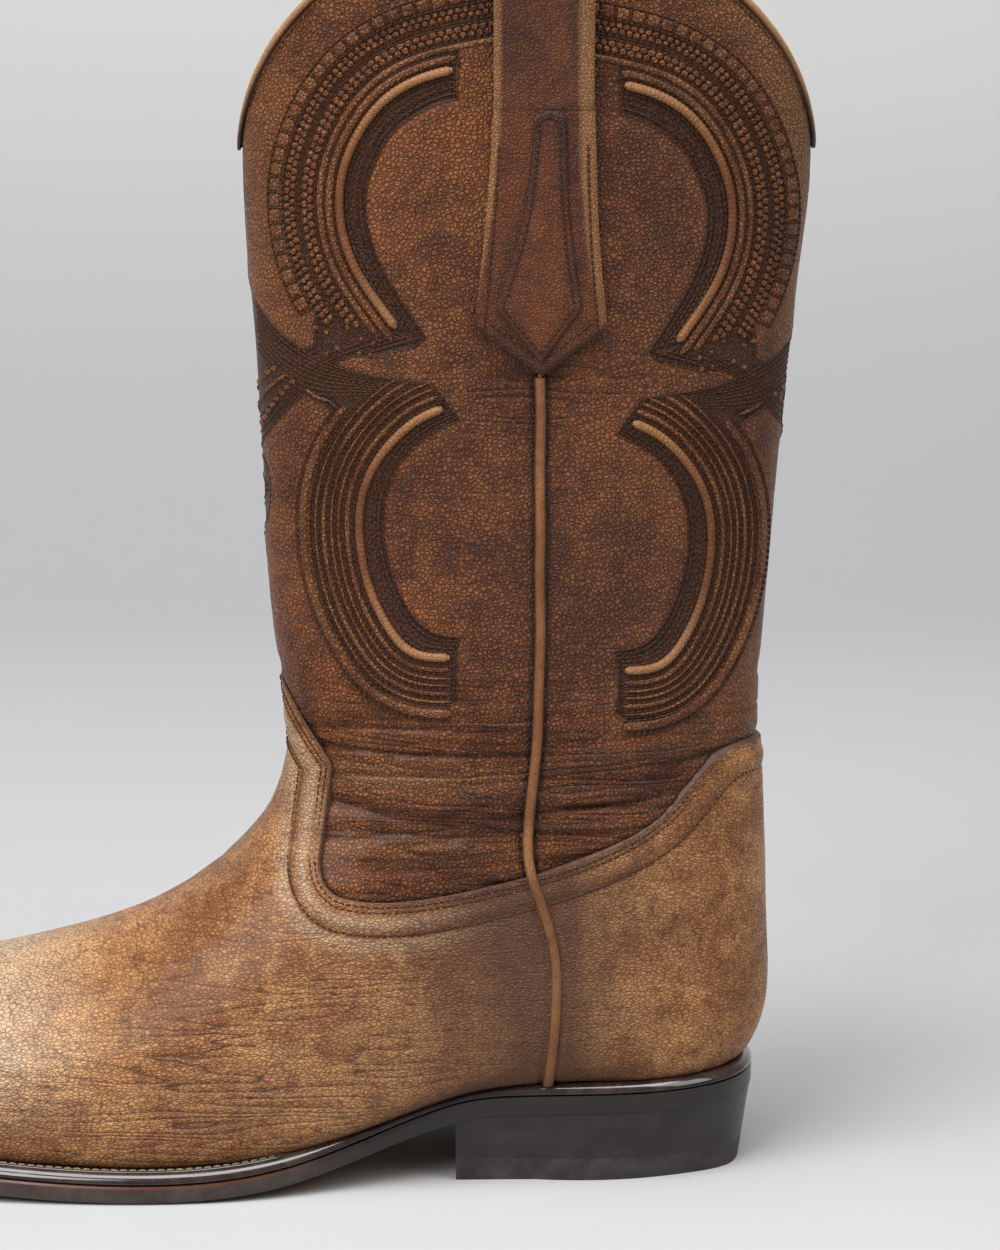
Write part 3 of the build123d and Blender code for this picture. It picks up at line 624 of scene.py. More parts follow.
def metal(name, colour, worn, rough=0.35):
    n = Nodes(name)
    marks = n.noise(0.6, (0.3, 1.5, 1.0), detail=4.0)
    tint = n.mix(n.remap(marks, 0.4, 0.7), colour, worn)
    return n.finish(tint, n.remap(marks, 0.3, 0.7, rough, rough + 0.2), marks, 0.2, 0.0001, Metallic=1.0)


def woody(name, dark, light, stretch=(1, 1, 0.2), scale=1.2):
    n = Nodes(name)
    rings = n.noise(scale, stretch, detail=4.0)
    pores = n.noise(scale * 4, detail=2.0)
    colour = n.mix(n.remap(rings, 0.35, 0.65), dark, light)
    return n.finish(colour, n.remap(pores, 0.3, 0.7, 0.6, 0.8), rings, 0.4, 0.0003)


SHAFT = leather("shaft_leather", (0.112, 0.027, 0.005), (0.300, 0.093, 0.021), (0.020, 0.0065, 0.003),
                (0.44, 0.20, 0.070), grain=0.80, crease=0.35, bump=1.12, net=0.74)
FOOT = leather("foot_leather", (0.240, 0.087, 0.024), (0.540, 0.262, 0.094), (0.055, 0.019, 0.008),
               (0.92, 0.76, 0.52), grain=0.88, crease=0.7, bump=0.58, net=0.72, stretch=(0.75, 0.75, 1.3))
STRAP_LEATHER = leather("strap_leather", (0.062, 0.016, 0.005), (0.165, 0.044, 0.008),
                        (0.020, 0.0065, 0.004), (0.34, 0.155, 0.055), grain=1.05, crease=0.2, bump=0.7)
OVERLAY_LEATHER = leather("overlay_leather", (0.085, 0.021, 0.004), (0.185, 0.045, 0.005),
                          (0.022, 0.007, 0.004), (0.34, 0.15, 0.05), grain=1.0, crease=0.15, bump=0.6)
CORD_LEATHER = leather("cord_leather", (0.13, 0.038, 0.009), (0.24, 0.082, 0.022), (0.05, 0.018, 0.007),
                       (0.44, 0.21, 0.078), grain=1.3, crease=0.0, bump=0.4)
PIPING_LEATHER = leather("piping_leather", (0.21, 0.075, 0.022), (0.38, 0.160, 0.056),
                         (0.045, 0.015, 0.006), (0.6, 0.32, 0.13), grain=2.0, crease=0.0, bump=0.35)
BINDING_LEATHER = leather("binding_leather", (0.20, 0.070, 0.023), (0.34, 0.145, 0.055),
                          (0.030, 0.010, 0.005), (0.70, 0.46, 0.23), grain=1.8, crease=0.0, bump=0.4)
CUT_EDGE = plain_leather("cut_edge", (0.045, 0.018, 0.010), (0.09, 0.038, 0.02), shine=0.6)
LINING = plain_leather("lining_leather", (0.42, 0.27, 0.15), (0.58, 0.41, 0.25), scale=0.6, shine=0.62)
BOARD = plain_leather("board_leather", (0.45, 0.31, 0.19), (0.62, 0.46, 0.30), scale=0.4, shine=0.8)
SOLE = plain_leather("sole_bottom_leather", (0.30, 0.17, 0.09), (0.44, 0.27, 0.15), scale=0.35, shine=0.5)
WELT_EDGE = stacked("welt_edge_wax", (0.016, 0.010, 0.009), (0.045, 0.027, 0.022), layer=9.0, shine=0.12,
                    coat=0.9)
SOLE_EDGE = stacked("sole_edge_wax", (0.028, 0.018, 0.016), (0.062, 0.043, 0.038), layer=7.0, shine=0.30)
HEEL = stacked("heel_stack", (0.014, 0.010, 0.010), (0.027, 0.020, 0.020), layer=5.0, shine=0.33)
RUBBER = stacked("heel_rubber", (0.024, 0.019, 0.019), (0.056, 0.045, 0.045), layer=9.0, shine=0.5, coat=0.0)
THREAD = twisted("dark_thread", (0.018, 0.007, 0.0035), (0.088, 0.036, 0.016))
WELT_THREAD = twisted("welt_thread", (0.10, 0.075, 0.045), (0.24, 0.19, 0.12))
BRASS = metal("nail_brass", (0.62, 0.44, 0.18), (0.30, 0.20, 0.09))
STEEL = metal("shank_steel", (0.55, 0.55, 0.56), (0.35, 0.35, 0.36))
WOOD = woody("peg_wood", (0.42, 0.28, 0.14), (0.66, 0.48, 0.28))
CORK = woody("cork", (0.34, 0.22, 0.12), (0.55, 0.39, 0.24), (1, 1, 1), 0.5)

# ---- outlines of the upper
FOOT_TOP = np.r_[curve([(5, 144), (8.5, 139.5), (14, 131), (23.8, 117.6)], 1.0)[:-1],
                 [(23.6, 117), (22.7, 111), (21.5, 102), (20.6, 95)],
                 curve([(20.2, 92), (20.9, 87.6), (24, 83.6), (29, 82), (42.7, 81.6), (60, 84.2),
                        (78.8, 88.7), (104, 97.6), (117.5, 106.2), (127.5, 117), (134, 121.5),
                        (150, 122.5)], 1.0)]
FOOT_OUTLINE = np.r_[FOOT_TOP, [(175, 122.5), (175, -10), (-175, -10), (-175, 144)]]


def signed_distance(x, z, outline):
    """Distance from a closed side-view outline, negative inside it."""
    best, inside = np.full(x.shape, 1e9), np.zeros(x.shape, bool)
    for (ax, az), (bx, bz) in zip(outline, np.roll(outline, -1, axis=0)):
        ex, ez = bx - ax, bz - az
        share = unit(((x - ax) * ex + (z - az) * ez) / (ex * ex + ez * ez + 1e-12))
        best = np.minimum(best, (x - ax - share * ex) ** 2 + (z - az - share * ez) ** 2)
        crosses = (az > z) != (bz > z)
        inside ^= crosses & (x < ax + ex * (z - az) / np.where(abs(ez) < 1e-12, 1e-12, ez))
    return np.sqrt(best) * np.where(inside, -1, 1)


def above_top(x, z, depth=0.0):
    """Distance above the scalloped top line, lowered by an even depth."""
    radius_x, radius_z = TOP_RADII[0], TOP_RADII[1] + depth
    u, v = (x - TOP_CENTRE[0]) / radius_x, np.maximum(z - TOP_CENTRE[1] + 2 * depth, 0) / radius_z
    size = np.maximum(np.hypot(u, v), 1e-6)
    return (size - 1) * size / np.maximum(np.hypot(u / radius_x, v / radius_z), 1e-9)


def outside_foot(x, z):
    return signed_distance(x, z, FOOT_OUTLINE)


# ---- relief noise
LATTICE = rng.random((64, 64, 64))


def value_noise(points, scale):
    """Smooth noise from 0 to 1 at millimetre points, times a scale for each axis."""
    p = points * np.asarray(scale, float) + 17.3
    low = np.floor(p).astype(int)
    f = p - low
    f = f * f * (3 - 2 * f)
    total = 0
    for corner in range(8):
        step = np.array([corner & 1, corner >> 1 & 1, corner >> 2 & 1])
        i = (low + step) % 64
        total = total + LATTICE[i[..., 0], i[..., 1], i[..., 2]] * np.prod(np.where(step, f, 1 - f), axis=-1)
    return total


def creases(points, scale, sharp=10.0):
    """Thin valleys, 0 to 1, along the places where the noise passes its middle."""
    noise = 0.7 * value_noise(points, scale) + 0.3 * value_noise(points + 31, np.asarray(scale) * 2.3)
    return unit(1 - sharp * np.abs(noise - 0.5)) ** 1.5


def bulge(value, low, middle, high):
    """A smooth bump from low to high with its top at the middle."""
    rise = unit((value - low) / (middle - low))
    fall = unit((high - value) / (high - middle))
    both = np.minimum(rise, fall)
    return both * both * (3 - 2 * both)


# ---- the stitched pattern of the shaft
# Drawn as (distance from the side seam, height) on the front panel, and mirrored for the back one. Two raised
# cords, each with an inner band and a family of rows beside it, and a crossing where the families meet.
UPPER_CORD = [(23.5, 310.7), (29.7, 309.1), (41.2, 303.1), (49.2, 293.3), (53.7, 282), (54.2, 270.5),
              (51, 259), (45.5, 249.8), (39.1, 241.2)]
LOWER_CORD = [(26.5, 219.3), (32.1, 216.8), (39.4, 211), (45.1, 203.6), (49, 193.5), (49.6, 183),
              (47, 169.1), (42, 158.5), (35.5, 151.6), (24.7, 150.2)]
UPPER_INSIDE = [(22.3, 302.4), (28, 300.8), (33.7, 297.8), (37.7, 295), (41.3, 290.8), (44.6, 284.4),
                (46.6, 278.4), (46.8, 273), (45.9, 267), (43.5, 259.9), (39.3, 252), (34.6, 244.6),
                (30.4, 238.4)]
LOWER_INSIDE = [(21.7, 216), (30.5, 211.2), (37, 205), (41.1, 197), (42.5, 187.3), (41.4, 177.6),
                (38, 167.9), (34, 161.2), (29.5, 157.6), (21.4, 156.2)]
UPPER_BASE = [(9, 313.5)] + UPPER_CORD + [(34, 235)]
LOWER_BASE = [(22, 221.5)] + LOWER_CORD
HALF_WIDTH_BACK = 0.965
BACK_DROP = 4.0
CORD_TOP = 0.12


def beside(base, offset, first=0.0, step=0.4):
    """A line beside a base curve, offset away from the seam, from a share of its length on."""
    line = curve(base, step)
    away = quarter_turn(tangents(line))
    if away[len(away) // 2][0] < 0:
        away = -away
    moved = line + away * offset
    return moved[int(first * (len(moved) - 1)):]


def between(first, second, share, step=0.4):
    """A line part of the way from one curve to another."""
    a, b = curve(first, step), curve(second, step)
    spots = np.linspace(0, 1, max(len(a), len(b)))
    even = [np.stack([np.interp(spots, np.linspace(0, 1, len(c)), c[:, k]) for k in (0, 1)], axis=1)
            for c in (a, b)]
    return even[0] * (1 - share) + even[1] * share


def upper_row(offset, first=0.0, raised=0.0, step=0.4):
    """A row of the upper family, which stops short of the crossing."""
    line = beside(UPPER_BASE, offset, first, step)
    return line[line[:, 1] > 236.9 + raised + 0.2 * (line[:, 0] - 36)]


def lower_row(offset, step=0.4):
    """A row of the lower family, which starts below the spike of plain leather."""
    line = beside(LOWER_BASE, offset, step=step)
    d, z = line[:, 0], line[:, 1]
    return line[(z < 225.8 + 0.16 * (d - 29.3)) & (d > 22.0 + 0.72 * np.maximum(0, z - 215.7))]


def to_view(points, panel):
    """Seam distance and height to side-view x and z, on the front (-1) or back (1) panel."""
    points = np.asarray(points, float)
    if panel < 0:
        return np.stack([SEAM_X - points[:, 0], points[:, 1]], axis=1)
    return np.stack([SEAM_X + points[:, 0] * HALF_WIDTH_BACK, points[:, 1] - BACK_DROP], axis=1)


LADDER_OUT, LADDER_IN, LADDER_STEP = 20.2, 16.2, 4.4
lower_ring = lower_row(14.2, 2.0)
STITCHED = [
    np.r_[[(22.2, 313)], beside(UPPER_BASE, 0.4, CORD_TOP, 2.0), curve(UPPER_INSIDE, 2.0)[::-1]],
    np.r_[upper_row(-0.4, CORD_TOP, step=2.0), upper_row(5.0, CORD_TOP, step=2.0)[::-1]],
    np.r_[upper_row(4.4, step=2.0), upper_row(LADDER_IN + 0.3, raised=1.0, step=2.0)[::-1]],
    np.array([(90, 258), (82.5, 254), (79.7, 249), (77.7, 245.7), (75.2, 242.9), (72.3, 239.6),
              (69, 237.1), (65, 234.8), (62.6, 236), (62.2, 243.6), (50, 247), (38, 241.5), (30.4, 238.3),
              (32.3, 236.7), (35.8, 235.5), (41.2, 234.1), (47, 232.6), (52.8, 232.4), (55.8, 230.9),
              (49.3, 228.5), (43.5, 227.8), (37.7, 227.1), (32.3, 226.8), (29, 226), (27, 223.3),
              (24.3, 219.1), (21.7, 215.8), (34, 213), (52, 206), (58.5, 212), (58.2, 218.2),
              (61.6, 220.1), (65.2, 222.1), (71.4, 215.6), (75.7, 210.5), (77.6, 207.2), (75.4, 200),
              (74.9, 194), (76, 185), (79, 178), (90, 172)]),
    np.r_[curve(LOWER_INSIDE, 2.0), [(22.7, 149.1), (22.7, 138.4), (25.5, 135.6)], lower_ring[::-1],
          [(44, 227.9), (37.7, 227), (32.3, 226.7), (29, 225.8)]],
]


def stitched_zone(x, z, panel):
    """Signed distance into the stitched zone: positive in the dark rows, negative in plain leather."""
    distance = (SEAM_X - x) if panel < 0 else (x - SEAM_X) / HALF_WIDTH_BACK
    level = z + (0 if panel < 0 else BACK_DROP)
    zone = np.full(len(x), -6.0)
    near = np.flatnonzero((distance > 4) & (level > 126) & (level < 342))
    inner = np.minimum.reduce([signed_distance(distance[near], level[near], outline) for outline in STITCHED])
    zone[near] = np.clip(-inner, -6, 3)
    return zone


def sunk_and_puffed(zone):
    """How far the leather is sewn down, and how far it swells beside the stitching, from 0 to 1."""
    return unit(zone / 1.2), unit(1 + zone / 5.0) * unit(-zone)


def skin(points, zone):
    """Height of the shaft's leather over its smooth form: soft waves, sunk stitched rows, puffed edges."""
    sunk, puff = sunk_and_puffed(zone)
    return (value_noise(points, (0.03, 0.03, 0.05)) - 0.5) * 0.4 - 0.38 * sunk + 0.28 * puff


def on_panel(line, panel, side, height):
    """Points and normals on the shaft's skin, at a height over it, for pattern points."""
    flat, normal = on_leg(to_view(line, panel), side, 0.0)
    lift = skin(flat, stitched_zone(flat[:, 0], flat[:, 2], panel)) + height
    return flat + normal * lift[:, None], normal


def shaft_relief(panel):
    def relief(points, turn, depth):
        x, z = points[:, 0], points[:, 2]
        zone = stitched_zone(x, z, panel)
        sunk, puff = sunk_and_puffed(zone)
        ankle = unit((150 - z) / 35) * unit((z - 80) / 12)
        folds = creases(points, (0.012, 0.012, 0.085), 9) * 0.9 + creases(points, (0.02, 0.02, 0.16), 9) * 0.5
        waist = peak(z - 226, 16) * peak(x - SEAM_X, 34)
        lines = creases(points, (0.02, 0.02, 0.30), 8)
        groove = peak(np.abs(x - seam_x(z)) - 2.1, 0.9) * (z < 229)
        height = skin(points, zone) - folds * (1.55 * ankle + 0.05) * (1 - sunk)
        height -= 0.3 * waist * lines + 0.35 * groove
        # Painted highlights: tan where the leather turns edge-on at the front and back, along the top rim
        # (more towards the back) and in streaks over the ankle folds. The puffs beside the stitching are a
        # little lighter, and the noise varies the tone.
        edge = unit(1 - depth / 2.0)
        edge_on_highlight = unit(1 - np.abs(np.sin(turn)) * 2.2)
        band = peak(above_top(x, z) + 5, 9)
        right = unit((x - 120) / 40)
        tan = 0.10 * edge_on_highlight + 0.14 * puff + (0.10 + 0.95 * right) * band
        tan += 0.40 * (value_noise(points, (0.02, 0.02, 0.025)) - 0.5)
        tan += 0.50 * ankle * unit(value_noise(points, (0.015, 0.015, 0.11)) - 0.42) * 2
        # Painted shade: the panel's rim, the seam groove, the ankle folds, the waist crease lines and the
        # leather near the side seam are darkened. The back panel is a little darker higher up.
        seam = peak(x - seam_x(z), 22)
        dark = 0.5 * edge + 0.95 * groove + 0.45 * ankle * folds + 0.25 * waist * lines
        dark += 0.25 * seam * value_noise(points, (0.03, 0.03, 0.03))
        dark += 0.12 * (panel > 0) * unit((z - 120) / 60)
        fold = 0.12 + 1.1 * ankle * value_noise(points, (0.02, 0.02, 0.04)) + 0.9 * waist
        return height, {"dark": unit(dark), "tan": np.clip(tan, 0, 0.68), "zone": zone, "fold": unit(fold)}

    return relief


def foot_relief(points, turn, depth):
    x, z = points[:, 0], points[:, 2]
    line = -outside_foot(x, z)
    near_sole = z - sole_z(x)
    pad = 0.5 * bulge(line, 2.8, 5.6, 8.6) - 0.35 * peak(line - 9.0, 0.8)
    pad -= 0.3 * peak(line - 1.3, 0.6) + 0.3 * peak(line - 2.7, 0.6)
    bend = peak(x + 5, 60) * unit((z - 40) / 30)
    folds = creases(points, (0.05, 0.03, 0.06), 8) * 0.55 + creases(points, (0.09, 0.05, 0.12), 8) * 0.3
    soft = (value_noise(points, (0.025, 0.03, 0.03)) - 0.5) * 0.6
    groove = peak(np.abs(x - seam_x(z)) - 2.1, 0.9)
    low = peak(near_sole - 22, 20) * unit(1.4 - np.abs(x + 5) / 55)
    height = pad + soft - folds * (0.35 * bend + 0.10 + 0.28 * low) - 0.4 * groove
    height -= 0.5 * unit(1 - near_sole / 2.5) ** 2
    # Painted shade: the piece's rim, the stitch groove 9 mm below the top, the foot near the sole, the
    # leather towards the side seam, the seam groove and the crease valleys are darkened. The mottle is tone,
    # and a round patch on the counter is kept lighter.
    dark = 0.75 * unit(1 - depth / 1.2) + 0.55 * peak(line - 9.0, 0.8)
    dark += 0.35 * unit(1 - near_sole / 6) + 0.98 * peak(x - seam_x(z), 54) ** 1.3 + 0.6 * groove
    mottle = value_noise(points, (0.022, 0.022, 0.022))
    dark += 0.26 * unit((x + 30) / 80) * (0.2 + 1.1 * mottle) * unit((100 - x) / 20)
    dark += folds * (0.15 * (0.3 + bend) + 0.30 * low) - 0.22 * unit(1 - np.hypot(x - 108, z - 58) / 32)
    # The toe is lighter: part burnish, part painted highlight. The line just below the 9 mm stitch groove
    # gets a painted highlight, and the puffed band along the top is lighter.
    toe = unit((-40 - x) / 60) * unit((z - 16) / 22)
    band = bulge(line, 2.8, 5.4, 8.6)
    tan = toe * (0.62 + 0.6 * value_noise(points, (0.02, 0.02, 0.02))) + 0.30 * band * unit((90 - x) / 40)
    tan += 0.25 * bulge(line, 9.2, 10.2, 16.0) * unit((85 - x) / 30)
    flex = unit(1.4 - np.abs(x + 5) / 62) * unit((82 - z) / 40)
    fold = 0.12 + 1.15 * flex * (0.3 + 0.7 * value_noise(points, (0.03, 0.03, 0.05))) + 0.5 * low
    fold += 0.6 * bend * value_noise(points, (0.02, 0.02, 0.03))
    fold *= 0.8 * (1 - 0.8 * band) * (1 - 0.75 * toe) * np.clip((130 - x) / 40, 0.2, 1)
    dark = np.clip(dark, 0, 0.9) * (1 - 0.8 * toe)
    return height, {"dark": dark, "tan": np.clip(tan, 0, 0.9), "fold": unit(fold)}


# ---- outer leather
SEAM_HALF = 0.5
BINDING_DEPTH = 0.8
SHAFT_SPAN = (STATION_T[9], STATION_T[-1] - 4)
HEEL_SPAN = (STATION_T[8], STATION_T[16])


def shaft_region(side):
    """Where the front (-1) or back (1) panel of the shaft is, below zero inside it."""
    return lambda x, y, z: np.maximum.reduce([above_top(x, z) + BINDING_DEPTH, -outside_foot(x, z),
                                              side * (seam_x(z) - x) + SEAM_HALF])


def foot_region(side):
    """Where the vamp (-1) or the counter (1) is, below zero inside it."""
    return lambda x, y, z: np.maximum.reduce([outside_foot(x, z), side * (seam_x(z) - x) + SEAM_HALF,
                                              sole_z(x) - z])


SHELLS = (("front_shaft_leather", shaft_region(-1), SHAFT_SPAN, 0.0, SHAFT, shaft_relief(-1)),
          ("back_shaft_leather", shaft_region(1), SHAFT_SPAN, 0.0, SHAFT, shaft_relief(1)),
          ("vamp_leather", foot_region(-1), (-DOME, STATION_T[15]), -1.0, FOOT, foot_relief),
          ("counter_leather", foot_region(1), HEEL_SPAN, -1.0, FOOT, foot_relief))
STANDS_FOR = (("shaft_leather", "front_shaft_panel"), ("shaft_leather", "back_shaft_panel"),
              ("foot_leather", "vamp"), ("foot_leather", "counter_cover"))
for (name, region, span, outer, look, relief), (slot, node) in zip(SHELLS, STANDS_FOR):
    place(shell(name, region, span, outer, 1.75, [look, CUT_EDGE], relief), slot, node)

# ---- linings
for node, region, span, outer in (
        ("front_shaft_lining", shaft_region(-1), SHAFT_SPAN, 2.05),
        ("back_shaft_lining", shaft_region(1), SHAFT_SPAN, 2.05),
        ("vamp_lining", foot_region(-1), (2.0, STATION_T[15]), 3.65),
        ("heel_lining", foot_region(1), HEEL_SPAN, 3.65)):
    lining = shell(node + "_leather", region, span, outer, outer + 1.15, [LINING], step=2.0, columns=180)
    place(lining, "lining_leather", node)


# ---- threads, beads and ridges of the shaft
FLOW_HIGH = [(29.5, 226), (38, 227), (49, 228.4), (57, 230.4), (64, 233.4), (70, 237.2), (75.5, 242.4),
             (82.5, 253)]
FLOW_LOW = [(25.6, 221.8), (38, 222.4), (49, 222.8), (58, 222.2), (66, 223.6), (72, 226.6), (77, 231),
            (82.5, 238)]
CROSS_HIGH = [(43, 239.4), (52, 235.6), (60, 231.6), (68, 226.4), (74, 220), (82.5, 209)]
CROSS_LOW = [(33, 238.6), (46, 234.6), (57, 230.6), (64.5, 224.4), (71, 217.2), (78, 208)]


SHORT_ROWS = [[(22.2, 313.2), (22, 308), (22.3, 302.4)],
              [(30.4, 238.4), (35, 235.9), (41, 234.2), (47, 232.7)],
              [(29, 226), (25.6, 221.6), (21.7, 215.8)], [(22.8, 156), (22.7, 149), (22.7, 138.4)],
              [(65.2, 222.1), (61.6, 220), (58.4, 218.4)],
              [(65.2, 222.1), (71.4, 215.4), (77.6, 207.2), (82, 199)],
              [(82, 206), (76.2, 200), (75.2, 194), (76.4, 186), (82, 176)],
              [(83, 202), (77, 195), (83, 184)]]


def ladder(shift):
    """The ladder's bars, square to its outer line, as pairs of ends; a shift of 0.5 lies between them."""
    outside = upper_row(LADDER_OUT, raised=1.0)
    length = distances(outside)[-1]
    spacing = length / round(length / LADDER_STEP)
    even = resampled(outside, spacing / 10)
    inwards = -quarter_turn(tangents(even))
    inwards *= np.sign(np.sum(inwards * (np.array([20.0, 275.0]) - even), axis=1))[:, None]
    chosen = np.arange(int(10 * shift), len(even), 10)
    return np.stack([even[chosen], even[chosen] + inwards[chosen] * (LADDER_OUT - LADDER_IN)], axis=1)


def thread_lines():
    """Every decorative thread row, as seam distance and height."""
    lines = [between(UPPER_INSIDE, UPPER_CORD, share) for share in (0.05, 0.25, 0.45, 0.62, 0.78)]
    lines += [between(LOWER_INSIDE, LOWER_CORD, share) for share in (0.04, 0.22, 0.40, 0.58, 0.76)]
    lines += [upper_row(offset, CORD_TOP) for offset in (1.7, 4.2)]
    lines += [upper_row(offset) for offset in (6.8, 7.3, 11.0, 11.9, 12.5, 15.9)]
    lines += [upper_row(LADDER_OUT, raised=1.0)]
    lines += [lower_row(offset)
              for offset in (1.7, 2.5, 4.5, 5.2, 6.5, 7.1, 8.7, 9.3, 11.2, 11.8, 13.3, 14.1)]
    lines += [row[row[:, 1] < 219.5] for row in (beside(LOWER_BASE, 17.4), beside(LOWER_BASE, 18.0))]
    lines += [between(FLOW_HIGH, FLOW_LOW, share) for share in np.linspace(0, 1, 9)]
    lines += [between(CROSS_HIGH, CROSS_LOW, share) for share in (0.0, 0.33, 0.66, 1.0)]
    lines += [curve(points, 0.4) for points in SHORT_ROWS]
    rails = [upper_row(offset, raised=1.0) for offset in (LADDER_IN, LADDER_OUT)]
    bars = [resampled(bar, 0.5) for bar in ladder(0.0)]
    return lines, bars + rails


def mounds(spots, along, size_along, size_across, height, squareness, panel, side):
    """Rounded leather beads or pillows at pattern points, and one random number for each vertex."""
    turn = np.linspace(0, 2 * math.pi, 12, endpoint=False)
    shape = np.stack([signed_power(np.cos(turn), squareness), signed_power(np.sin(turn), squareness)], axis=1)
    across = quarter_turn(along)
    rings, levels = [], []
    for reach, level in ((1, -0.25), (0.93, 0.35 * height), (0.72, 0.85 * height), (0.38, height)):
        ring = spots[:, None] + along[:, None] * (shape[:, :1] * size_along * reach)
        ring = ring + across[:, None] * (shape[:, 1:] * size_across * reach)
        rings.append(ring)
        levels.append(np.full(ring.shape[:2], level))
    view = np.concatenate(rings, axis=1)
    count, size = view.shape[:2]
    path, _ = on_panel(view.reshape(-1, 2), panel, side, np.concatenate(levels, axis=1).ravel())
    cell = [[r * 12 + k, r * 12 + (k + 1) % 12, (r + 1) * 12 + (k + 1) % 12, (r + 1) * 12 + k]
            for r in range(3) for k in range(12)]
    cell += [list(range(36, 48)), list(range(12))[::-1]]
    if panel * side > 0:
        cell = [face[::-1] for face in cell]
    faces = [[i + size * s for i in face] for s in range(count) for face in cell]
    return path, faces, np.repeat(rng.random(count), size)


def spaced(line, gap, shift=0.0):
    """Points along a line at a gap, with their directions."""
    even = resampled(line, gap / 8)
    start = int(4 + 8 * shift)
    return even[start:-4:8], tangents(even)[start:-4:8]


def ridge(line, half_width, height, panel, side):
    """A rounded leather ridge along a pattern line."""
    path, normal = on_panel(line, panel, side, -0.08)
    across = np.cross(tangents(path), normal)
    ring = oval(10, half_width, height + 0.2)
    vertices, faces = sweep(path, across, normal, ring * tapered(len(path), 4, 0.2)[:, None, None])
    shade = 0.5 + 0.5 * np.sin(np.arange(len(path)) * 0.09 + rng.random() * 6)
    return vertices, faces, np.repeat(shade, 10)


# offset from the base, gap, shift, sizes along and across, height
BEAD_ROWS = [(8.35, 2.3, 0.0, 1.02, 0.90, 0.62), (9.9, 2.3, 0.5, 1.02, 0.90, 0.62),
             (13.4, 2.1, 0.0, 0.93, 0.84, 0.56), (14.9, 2.1, 0.5, 0.93, 0.84, 0.56)]
CROSSING_BEADS = [[(73, 229.2), (76.3, 226.8), (79, 223.7), (81, 220.5)],
                  [(67.6, 226), (71, 222.6), (75, 217.4), (79, 211)]]
LOOSE_BEADS = np.array([(61.4, 240.6), (58.6, 239.5), (55.5, 235.2), (58.7, 233.4), (52.6, 241),
                        (48.9, 237.9), (45.6, 236.6), (49.4, 233.9), (46.4, 233.6)])
LOWER_RIDGES = ((3.5, 0.75), (5.9, 0.42), (7.9, 0.45), (10.2, 0.7), (12.5, 0.45))


def relief_parts(panel, side):
    """Beads, pillows and ridges of one side of a panel."""
    rows = []
    for offset, gap, shift, long, wide, height in BEAD_ROWS:
        spots, along = spaced(upper_row(offset), gap, shift)
        rows.append(mounds(spots, along, long, wide, height, 0.85, panel, side))
    spots = ladder(0.5).mean(axis=1)
    rows.append(mounds(spots, tangents(spots), 1.85, 1.66, 0.46, 0.34, panel, side))
    for line in CROSSING_BEADS:
        rows.append(mounds(*spaced(curve(line, 0.3), 2.3), 0.85, 0.8, 0.5, 0.9, panel, side))
    slant = np.tile([[0.8, 0.6]], (len(LOOSE_BEADS), 1))
    rows.append(mounds(LOOSE_BEADS, slant, 0.75, 0.65, 0.45, 0.9, panel, side))
    last_row = beside(LOWER_BASE, 15.8)
    ridges = [(upper_row(3.0, CORD_TOP), 1.12, 0.62), (upper_row(5.6), 0.98, 0.58)]
    ridges += [(lower_row(offset), width, 0.42) for offset, width in LOWER_RIDGES]
    ridges += [(last_row[last_row[:, 1] < 219], 1.35, 0.5),
               (curve([(70, 227.3), (74.2, 224.1), (77.3, 220.5), (80.5, 215)], 0.4), 0.7, 0.5),
               (curve([(64.8, 223.6), (61.6, 221.6), (57.5, 220.4)], 0.4), 0.5, 0.4)]
    return rows + [ridge(line, width, height, panel, side) for line, width, height in ridges]


for panel, name in ((-1, "front"), (1, "back")):
    rows = relief_parts(panel, -1) + relief_parts(panel, 1)
    vertices, faces = joined([(part[0], part[1]) for part in rows])
    chance = np.concatenate([part[2] for part in rows])
    raised = make_object(name + "_panel_raised_leather", vertices, faces, [SHAFT], angle=80)
    paint(raised, tan=0.04 + 0.32 * chance, dark=0.12 - 0.1 * chance)
    place(raised, "shaft_leather")
    threads = []
    for side in (-1, 1):
        for lines, radius, height in zip(thread_lines(), (0.30, 0.38), (-0.02, 0.10)):
            for line in lines:
                view = to_view(line, panel)
                line = line[(above_top(view[:, 0], view[:, 1]) < -4.5) & (line[:, 0] < 80.5)]
                if len(line) > 3:
                    path, normal = on_panel(line, panel, side, height)
                    threads.append(stitches(path, normal, 1.8, radius, 0.14, 0.0))
    place(make_object(name + "_panel_threads", *joined(threads), [THREAD]), "thread")

foot_threads = []
top_line = resampled(FOOT_TOP[1:-7], 0.5)
inward = -quarter_turn(tangents(top_line))
for offset in (1.4, 2.8, 9.0):
    inset_line = top_line + inward * offset
    keep = np.abs(outside_foot(inset_line[:, 0], inset_line[:, 1]) + offset) < 0.25
    inset_line = resampled(inset_line[keep], 0.5)
    for side in (-1, 1):
        from_seam = inset_line[:, 0] - seam_x(inset_line[:, 1])
        for half in (from_seam < -2, from_seam > 2):
            if half.sum() > 8:
                path, normal = on_leg(inset_line[half], side, 0.80)
                foot_threads.append(stitches(path, normal, 1.9, 0.30, 0.12))
place(make_object("foot_threads", *joined(foot_threads), [THREAD]), "thread")

